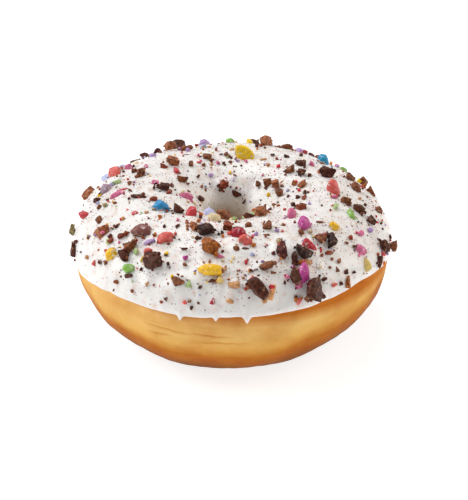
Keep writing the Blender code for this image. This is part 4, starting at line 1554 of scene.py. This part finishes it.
@dataclass(frozen=True)
class Shell:
    """A shard of a sugar-shelled sweet: a coloured dome bent down at its edge, a white rim and chocolate."""

    columns: int = 36
    corners: int = 6
    corner_reach: tuple[float, float] = (0.7, 1.0)
    crispness: float = 34.0
    notches: float = 0.12
    notch_size: float = 0.55
    notch_seed: int = 71
    breaks: int = 4
    break_start: tuple[float, float] = (0.05, 0.6)
    break_slope: tuple[float, float] = (0.25, 0.7)
    dome: float = 0.27
    tallness: float = 0.7
    sink: float = 0.7
    tilt: float = 0.3
    turn_to_view: float = 0.46
    seen_over: float = 0.6
    ripple_depth: float = 0.09
    ripple_size: float = 1.1
    smooth_from: float = 0.99
    chocolate: Tint = Tint.BROWN
    rim_whiteness: float = 0.7
    crown: tuple[float, ...] = (0.3, 0.55, 0.75, 0.88)
    # The broken side from the dome's edge down: share of the outline, and depth as a share of the height
    shell_side: tuple[tuple[float, float], ...] = ((0.96, 0.03), (1.0, 0.12), (1.0, 0.4))
    rim_side: tuple[tuple[float, float], ...] = ((1.0, 0.42), (0.98, 0.54))
    filling_side: tuple[tuple[float, float], ...] = ((0.96, 0.56), (0.98, 0.8), (0.9, 4.0))

    def outline(self, count: int, draw: np.random.Generator) -> Array:
        """Outlines with straight breaks: r = (sum of (cos(a - b) / h) to the p) to the -1/p.

        Here b is a break's way. Small notches, a ripple round the outline, are taken off it.

        Args:
            count: How many.
            draw: What the breaks are drawn with.

        Returns:
            Radii of about 1, (count, columns).
        """
        around = TURN * np.arange(self.columns) / self.columns
        ways = draw.uniform(0, TURN, (count, self.corners))
        heights = draw.uniform(*self.corner_reach, (count, self.corners))
        square = np.broadcast_to(QUARTER * np.arange(4), (count, 4))
        ways = np.concatenate((ways, square), axis=1)
        heights = np.concatenate((heights, np.full((count, 4), 1.0)), axis=1)
        facing = np.maximum(np.cos(around[None, :, None] - ways[:, None]), 0.0) / heights[:, None]
        reach = (facing**self.crispness).sum(-1) ** (-1 / self.crispness)
        ring = np.stack((np.cos(around), np.sin(around), np.zeros_like(around)), -1)
        apart = np.arange(count)[:, None, None] * RIPPLE_APART
        notched = np.abs(ripple(ring[None] + apart, self.notch_size, self.notch_seed))
        return reach * (1 - self.notches * notched)

    def leans(self, spots: Spots, toward: Array, draw: np.random.Generator) -> Array:
        """Each shard's rise per mm along and across it: a little towards the camera, the rest by chance.

        Args:
            spots: Where they lie.
            toward: The direction to the camera.
            draw: What the chance is drawn with.

        Returns:
            Slopes, (count, 2).
        """
        side = np.cross(spots.out, spots.long_way)
        seen = np.clip(spots.out @ toward + self.seen_over, 0.0, 1.0)[:, None]
        to_view = np.stack((spots.long_way @ toward, side @ toward), axis=-1)
        chance = draw.uniform(-self.tilt, self.tilt, to_view.shape)
        return chance - self.turn_to_view * seen * to_view

    def build(
        self, name: str, spots: Spots, toward: Array, seed: int, finish: bpy.types.Material
    ) -> bpy.types.Object:
        """Makes one mesh of all the shards: rings from the base's middle up the broken side to the top.

        A ring's height is the shard's height times 1 - dome times (share of the outline) cubed - depth,
        plus its lean. Where a point lies past a break's start, it is lower by the break's slope times how
        far past it is.

        Args:
            name: The piece's name.
            spots: Where they lie.
            toward: The direction to the camera.
            seed: What their shapes are drawn with.
            finish: Their material.

        Returns:
            The object.
        """
        draw = np.random.default_rng(seed)
        count = len(spots.at)
        around = TURN * np.arange(self.columns) / self.columns
        reach = self.outline(count, draw)
        ring_x = reach * np.cos(around) * spots.length[:, None] / 2
        ring_y = reach * np.sin(around) * spots.width[:, None] / 2
        tall = (spots.width * self.tallness)[:, None]
        slope = self.leans(spots, toward, draw)[..., None]
        tint, brown = spots.tint, np.array(linear(self.chocolate.value))
        white = np.array(linear(Tint.SUGAR.value)) * self.rim_whiteness + tint * (1 - self.rim_whiteness)
        way = draw.uniform(0, TURN, (count, 1, self.breaks))
        start = draw.uniform(*self.break_start, (count, 1, self.breaks))
        steep = draw.uniform(*self.break_slope, (count, 1, self.breaks))

        def ring(share: float, depth: float) -> Array:
            """A ring of each shard.

            Args:
                share: Share of the outline.
                depth: How deep it lies, as a share of the height.

            Returns:
                Points in mm, (count, columns, 3).
            """
            x, y = ring_x * share, ring_y * share
            drop = self.dome * (share * reach) ** 3 + depth
            toward_break = share * reach[..., None] * np.cos(around[None, :, None] - way) - start
            drop = drop + (np.maximum(toward_break, 0.0) * steep).sum(axis=-1)
            z = tall * (1 - drop) + slope[:, 0] * x + slope[:, 1] * y
            level = np.stack((x, y, z + spots.at[:, :1]), -1)
            ripples = self.ripple_depth * ripple(level, self.ripple_size, seed + 1)
            return np.stack((x, y, np.maximum(z + ripples * (share < self.smooth_from), -self.sink)), -1)

        layers = [(share, depth, brown) for share, depth in reversed(self.filling_side)]
        layers += [(share, depth, white) for share, depth in reversed(self.rim_side)]
        layers += [(share, depth, tint) for share, depth in reversed(self.shell_side)]
        layers += [(share, 0.0, tint) for share in reversed(self.crown)]
        rings = [ring(share, depth) for share, depth, _ in layers]
        lowest, highest = ring(0.0, self.filling_side[-1][1])[:, :1], ring(0.0, 0.0)[:, :1]
        points = spots.put(np.concatenate((lowest, *rings, highest), axis=1))
        shades = [np.broadcast_to(colour, (count, 4)) for _, _, colour in layers]
        shades = np.stack([shades[0], *shades, shades[-1]], axis=1)
        tints = np.repeat(shades, [1] + [self.columns] * len(layers) + [1], axis=1).reshape(-1, 4)
        faces = repeated(capped_faces(len(layers), self.columns), points.shape[1], count)
        piece = make_piece(name, points.reshape(-1, 3), faces, tints)
        piece.data.materials.append(finish)
        return piece


@dataclass(frozen=True)
class Mixture:
    """What a kind of sweet is made of: colours with their shares."""

    parts: tuple[tuple[Tint, float], ...]
    shading: tuple[float, float] = (0.8, 1.2)

    def drawn(self, count: int, draw: np.random.Generator) -> Array:
        """Draws a colour for each sweet, a little lighter or darker than the mixture's.

        Args:
            count: How many sweets.
            draw: What they are drawn with.

        Returns:
            Linear colours, (count, 4).
        """
        colours = np.array([linear(tint.value) for tint, _ in self.parts])
        shares = np.array([share for _, share in self.parts])
        picked = colours[draw.choice(len(colours), count, p=shares / shares.sum())].copy()
        picked[:, :3] = np.clip(picked[:, :3] * draw.uniform(*self.shading, (count, 1)), 0.0, 1.0)
        return picked


def mixture(**shares: float) -> Mixture:
    """A mixture given as the shares of its tints by their names."""
    return Mixture(tuple((Tint[name.upper()], share) for name, share in shares.items()))


CHOCOLATES = mixture(milk=5, brown=6, dark=5, black=1, maroon=2, rust=1.5)
SUGARS = mixture(
    red=3, crimson=2, pink=3, magenta=2, lilac=4, lavender=3, blue=2, green=2, pale_green=2,
    yellow=3, orange=2, coral=2,
)
CRUMBS = mixture(
    brown=7, dark=5, maroon=4, rust=4, caramel=2, tan=3, wafer=2, coral=3, red=2, pink=2,
    lilac=1.5, lavender=1.5, yellow=0.8, pale_green=0.8, orange=1.5,
)
SPECKS = mixture(
    brown=3, maroon=1, rust=2, cocoa=4, coral=3, red=0.6, pink=3, tan=8, mauve=8, lilac=4,
    orange=1, wafer=5,
)
CHOCOLATE_TINTS = (Tint.MILK, Tint.BROWN, Tint.DARK, Tint.BLACK, Tint.MAROON, Tint.RUST, Tint.CARAMEL)


def seen_spots(form: RingForm, view: PhotoView, seen: tuple[Seen, ...]) -> Spots:
    """The spots of the sweets that the photograph shows.

    Args:
        form: The ring.
        view: The photograph's camera.
        seen: The sweets.

    Returns:
        Their spots on the icing.
    """
    at, along, _, out = form.ground(*view.find(form, seen))
    long_way = view.turned(along, out, np.array([sweet.degrees for sweet in seen]))
    length = np.array([sweet.length for sweet in seen])
    width = np.array([sweet.width for sweet in seen])
    return Spots(at, long_way, out, length, width, np.array([linear(sweet.tint.value) for sweet in seen]))


@dataclass(frozen=True)
class LooseSweets:
    """The solids' sweets out of the photograph's sight, by the same rule: longest first, none too close."""

    seed: int = 7
    count: int = 26
    tries: int = 6000
    longest: float = 5.6
    shortest: float = 2.3
    shortening: int = 4
    least_of_length: float = 0.8
    width_shares: tuple[float, float] = (0.62, 0.95)
    clearance: float = 0.6
    band: tuple[float, float] = (0.08, 0.9)
    reach: float = 46.8
    reach_share: float = 0.4
    facing: float = -0.06

    def spots(self, form: RingForm, view: PhotoView, taken: Spots) -> Spots:
        """Draws the spots, with a colour for each still to come.

        Args:
            form: The ring.
            view: The photograph's camera, which doesn't see them.
            taken: The spots that the photograph's own sweets hold.

        Returns:
            Spots with a white tint.
        """
        draw = random.Random(self.seed)
        drawn = np.array([draw.random() for _ in range(self.tries * 5)]).reshape(-1, 5)
        number = np.arange(self.tries)
        chance = self.least_of_length + (1 - self.least_of_length) * drawn[:, 0]
        later = (1 - number / self.tries) ** self.shortening
        length = self.shortest + (self.longest - self.shortest) * later * chance
        narrow, broad = self.width_shares
        width = length * (narrow + (broad - narrow) * drawn[:, 1])
        share = self.band[0] + (self.band[1] - self.band[0]) * drawn[:, 2]
        angle = TURN * drawn[:, 3]
        at, along, across, out = form.ground(share, number * GOLDEN_TURN % TURN)
        from_axis = np.hypot(at[:, 0], at[:, 1])
        inside = from_axis + length * self.reach_share < self.reach
        free = (drawn[:, 4] < from_axis / form.radius) & inside
        free &= out @ view.toward() < self.facing
        held, sizes, kept = list(taken.at), list(taken.length), []
        for one in np.flatnonzero(free):
            apart = np.linalg.norm(np.array(held) - at[one], axis=1)
            if (apart >= (np.array(sizes) + length[one]) * self.clearance).all():
                kept.append(one)
                held.append(at[one])
                sizes.append(length[one])
            if len(kept) == self.count:
                break
        turned = along * np.cos(angle)[:, None] + across * np.sin(angle)[:, None]
        return Spots(at, turned, out, length, width, np.ones((self.tries, 4))).pick(np.array(kept))


@dataclass(frozen=True)
class Strewn:
    """Crumbs too small for the solids, strewn on the icing: thin at its edge, thin in the hole, in drifts."""

    count: int
    smallest: float
    largest: float
    mixture: Mixture
    seed: int
    edge: tuple[float, float] = (0.04, 0.2)
    hole: tuple[float, float] = (0.72, 0.97)
    sparse: float = 0.22
    oversampling: int = 5
    drift: tuple[float, float, float] = (0.62, 0.5, 0.1)
    drift_size: float = 13.0
    small_power: float = 2.0
    width_shares: tuple[float, float] = (0.55, 0.95)
    lowest: float = 0.02
    highest: float = 0.97

    def spots(self, coat: IcingCoat) -> Spots:
        """Draws spots, more than needed, and keeps those that a draw against the local density lets through.

        Args:
            coat: The icing that they lie on.

        Returns:
            The spots, on the icing's uneven skin.
        """
        draw = np.random.default_rng(self.seed)
        many = self.count * self.oversampling
        share = draw.uniform(self.lowest, self.highest, many)
        bearing = draw.uniform(0, TURN, many)
        at, along, across, out = coat.form.ground(share, bearing)
        near_edge = np.clip((share - self.edge[0]) / (self.edge[1] - self.edge[0]), self.sparse, 1.0)
        near_hole = np.clip((self.hole[1] - share) / (self.hole[1] - self.hole[0]), self.sparse, 1.0)
        usual, change, least = self.drift
        drifts = np.clip(usual + change * ripple(at, self.drift_size, self.seed + 5), least, 1.0)
        density = near_edge * near_hole * drifts * np.hypot(at[:, 0], at[:, 1]) / coat.form.radius
        kept = np.flatnonzero(draw.random(many) < density)[: self.count]
        on_skin = coat.skin(share[kept], bearing[kept], coat.form.skin_lift)
        angle = draw.uniform(0, TURN, (len(kept), 1))
        long_way = along[kept] * np.cos(angle) + across[kept] * np.sin(angle)
        larger = draw.random(len(kept)) ** self.small_power
        length = self.smallest + (self.largest - self.smallest) * larger
        width = length * draw.uniform(*self.width_shares, len(kept))
        return Spots(on_skin, long_way, out[kept], length, width, self.mixture.drawn(len(kept), draw))


@dataclass(frozen=True)
class Shed:
    """Fragments broken off each larger sweet: they cling to its side or lie beside it, as in a clump."""

    seed: int
    each: int = 6
    sizes: tuple[float, float] = (0.13, 0.33)
    away: tuple[float, float] = (0.8, 1.45)
    cling: float = 0.34
    clinging: tuple[float, float] = (0.95, 1.2)
    own_tint: float = 0.65
    shading: tuple[float, float] = (0.75, 1.35)
    small_power: float = 1.5
    width_shares: tuple[float, float] = (0.55, 0.95)
    band: tuple[float, float] = (0.03, 0.97)

    def spots(self, coat: IcingCoat, view: PhotoView, seen: tuple[Seen, ...]) -> Spots:
        """Draws the fragments' spots round the sweets' outlines, away being 1 on the outline.

        Args:
            coat: The icing that they lie on.
            view: The photograph's camera.
            seen: The larger sweets.

        Returns:
            The spots, lifted off the icing where they cling to the sweet.
        """
        draw = np.random.default_rng(self.seed)
        count = len(seen) * self.each
        share, bearing = (np.repeat(part, self.each) for part in view.find(coat.form, seen))
        sweet = seen_spots(coat.form, view, seen).pick(np.repeat(np.arange(len(seen)), self.each))
        angle, away = draw.uniform(0, TURN, count), draw.uniform(*self.away, count)
        side = np.cross(sweet.out, sweet.long_way)
        offset = sweet.long_way * (np.cos(angle) * away * sweet.length / 2)[:, None]
        offset = offset + side * (np.sin(angle) * away * sweet.width / 2)[:, None]
        share, bearing = coat.form.beside(share, bearing, offset)
        share = np.clip(share, *self.band)
        lift = self.cling * sweet.width * np.interp(away, self.clinging, (1.0, 0.0))
        on_skin = coat.skin(share, bearing, coat.form.skin_lift)
        small, large = self.sizes
        length = sweet.length * (small + (large - small) * draw.random(count) ** self.small_power)
        width = length * draw.uniform(*self.width_shares, count)
        _, along, across, out = coat.form.ground(share, bearing)
        turn = draw.uniform(0, TURN, (count, 1))
        own = draw.random((count, 1)) < self.own_tint
        shade = np.ones((count, 4))
        shade[:, :3] = draw.uniform(*self.shading, (count, 1))
        tint = np.where(own, np.clip(sweet.tint * shade, 0.0, 1.0), CRUMBS.drawn(count, draw))
        long_way = along * np.cos(turn) + across * np.sin(turn)
        return Spots(on_skin + out * lift[:, None], long_way, out, length, width, tint)


@dataclass(frozen=True)
class Sweets:
    """All the sweets on the icing, from the pieces that stand out in the photograph to the finest specks."""

    form: RingForm
    view: PhotoView
    chocolate_share: float = 0.56
    seed: int = 55
    # The least length and width in mm of a small bit that is in the solids too
    solid_bit: tuple[float, float] = (2.2, 1.4)
    lump: Lump = Lump()
    lump_seed: int = 51
    shell: Shell = Shell()
    shell_seed: int = 52
    bit: Lump = Lump(rows=9, columns=16, breaks=8, crispness=24.0, crumble=0.06, tallness=0.75, sink=0.25)
    bit_seed: int = 53
    crumb: Lump = Lump(rows=3, columns=6, breaks=8, crispness=10.0, crumble=0.05, tallness=0.7, sink=0.15)
    crumb_seed: int = 54
    speck: Lump = Lump(rows=1, columns=4, breaks=5, crispness=8.0, crumble=0.0, tallness=0.5, sink=0.06)
    speck_seed: int = 55
    crumbs: Strewn = Strewn(count=520, smallest=0.6, largest=1.7, mixture=CRUMBS, seed=61)
    specks: Strewn = Strewn(count=9000, smallest=0.16, largest=0.5, mixture=SPECKS, seed=62)
    from_lumps: Shed = Shed(seed=63)
    from_shells: Shed = Shed(seed=64, each=5, sizes=(0.1, 0.25), away=(1.1, 1.7), own_tint=0.3)

    def seats(self) -> Array:
        """Where the icing is drawn up round the sweets that the photograph shows.

        Returns:
            X, Y, Z and the sweet's length, in mm, (sweets, 4).
        """
        spots = seen_spots(self.form, self.view, CHOCOLATE_LUMPS + SUGAR_SHELLS + SMALL_BITS)
        return np.concatenate((spots.at, spots.length[:, None]), axis=1)

    def build(self, coat: IcingCoat) -> list[bpy.types.Object]:
        """Makes one piece of each kind of sweet.

        Args:
            coat: The icing that they lie on.

        Returns:
            The pieces.
        """
        chocolate, sugar, ground = BROKEN_CHOCOLATE.make(), PANNED_SUGAR.make(), GROUND_CRUMB.make()
        lumps = seen_spots(self.form, self.view, CHOCOLATE_LUMPS)
        shells = seen_spots(self.form, self.view, SUGAR_SHELLS)
        long, wide = self.solid_bit
        in_solids = tuple(bit for bit in SMALL_BITS if bit.length >= long and bit.width >= wide)
        taken = lumps.with_more(shells).with_more(seen_spots(self.form, self.view, in_solids))
        loose = LooseSweets().spots(self.form, self.view, taken)
        draw = np.random.default_rng(self.seed)
        brown = draw.random(len(loose.at)) < self.chocolate_share
        loose_brown, loose_sugar = loose.pick(brown), loose.pick(~brown)
        loose_brown.tint[:] = CHOCOLATES.drawn(len(loose_brown.at), draw)
        loose_sugar.tint[:] = SUGARS.drawn(len(loose_sugar.at), draw)
        lumps, shells = lumps.with_more(loose_brown), shells.with_more(loose_sugar)
        pieces = [
            self.lump.build("chocolate_lumps", lumps, self.lump_seed, Slot.CHOCOLATE, chocolate),
            self.shell.build("sugar_shell_shards", shells, self.view.toward(), self.shell_seed, sugar),
        ]
        dark = tuple(bit for bit in SMALL_BITS if bit.tint in CHOCOLATE_TINTS)
        bright = tuple(bit for bit in SMALL_BITS if bit.tint not in CHOCOLATE_TINTS)
        for name, seen, slot, finish in (
            ("chocolate_bits", dark, Slot.CHOCOLATE, chocolate),
            ("sugar_bits", bright, Slot.SHELL, sugar),
        ):
            bits = seen_spots(self.form, self.view, seen)
            pieces.append(self.bit.build(name, bits, self.bit_seed, slot, finish))
        crumbs = self.crumbs.spots(coat)
        crumbs = crumbs.with_more(self.from_lumps.spots(coat, self.view, CHOCOLATE_LUMPS))
        crumbs = crumbs.with_more(self.from_shells.spots(coat, self.view, SUGAR_SHELLS))
        specks = self.specks.spots(coat)
        pieces.append(self.crumb.build("crushed_crumbs", crumbs, self.crumb_seed, Slot.CRUMB, ground))
        pieces.append(self.speck.build("fine_specks", specks, self.speck_seed, Slot.CRUMB, ground))
        return pieces


@dataclass(frozen=True)
class Softbox:
    """A square soft light: where it stands and its side in metres, its power in watts and its colour."""

    name: str
    place: tuple[float, float, float]
    side: float
    watts: float
    colour: str = "#FFFFFF"
    aim: tuple[float, float, float] = (0.0, 0.0, 0.02)

    def build(self) -> bpy.types.Object:
        """Makes the light, turned to what it is aimed at.

        Returns:
            The light's object.
        """
        lamp = bpy.data.lights.new(self.name, "AREA")
        lamp.shape = "SQUARE"
        lamp.size = self.side
        lamp.energy = self.watts
        lamp.color = linear(self.colour)[:3]
        made = bpy.data.objects.new(self.name, lamp)
        bpy.context.scene.collection.objects.link(made)
        made.location = self.place
        across, forward, up = (target - start for target, start in zip(self.aim, self.place))
        lean = math.atan2(math.hypot(across, forward), -up)
        made.rotation_euler = (lean, 0.0, math.atan2(-across, forward))
        return made


@dataclass(frozen=True)
class Studio:
    """Soft white studio light over the opal sheet of a light table."""

    floor_side: float = 12.0
    floor_drop: float = 0.00004
    sky: str = "#FFFFFF"
    sky_strength: float = 0.35
    sheet: WhiteSweep = WhiteSweep()
    lights: tuple[Softbox, ...] = (
        Softbox("key_softbox", place=(-1.5, 0.1, 1.1), side=1.0, watts=17.5),
        Softbox("top_softbox", place=(-0.3, 0.7, 1.7), side=1.0, watts=14.6),
        Softbox("fill_softbox", place=(1.5, 0.3, 0.9), side=1.0, watts=10.0, colour="#FFF1E2"),
    )

    def build(self) -> None:
        """Makes the floor, the sky and the lights, with colours shown as they are."""
        half = self.floor_side / 2
        mesh = bpy.data.meshes.new("light_table")
        corners = [(x * half, y * half, -self.floor_drop) for x, y in ((-1, -1), (1, -1), (1, 1), (-1, 1))]
        mesh.from_pydata(corners, [], [(0, 1, 2, 3)])
        mesh.materials.append(self.sheet.make())
        floor = bpy.data.objects.new("light_table", mesh)
        bpy.context.scene.collection.objects.link(floor)
        world = bpy.data.worlds.new("white_studio")
        world.use_nodes = True
        backdrop = world.node_tree.nodes["Background"]
        backdrop.inputs["Color"].default_value = linear(self.sky)
        backdrop.inputs["Strength"].default_value = self.sky_strength
        bpy.context.scene.world = world
        bpy.context.scene.view_settings.view_transform = "Standard"
        for light in self.lights:
            light.build()


def main() -> None:
    """Builds the doughnut, then the studio and the camera."""
    logging.basicConfig(level=logging.INFO, format="%(name)s: %(message)s")
    form, view = RingForm(), PhotoView()
    DoughRing(form).build()
    sweets = Sweets(form, view)
    coat = IcingCoat(form, sweets.seats())
    coat.build()
    sweets.build(coat)
    Studio().build()
    view.camera()


if __name__ == "__main__":
    main()
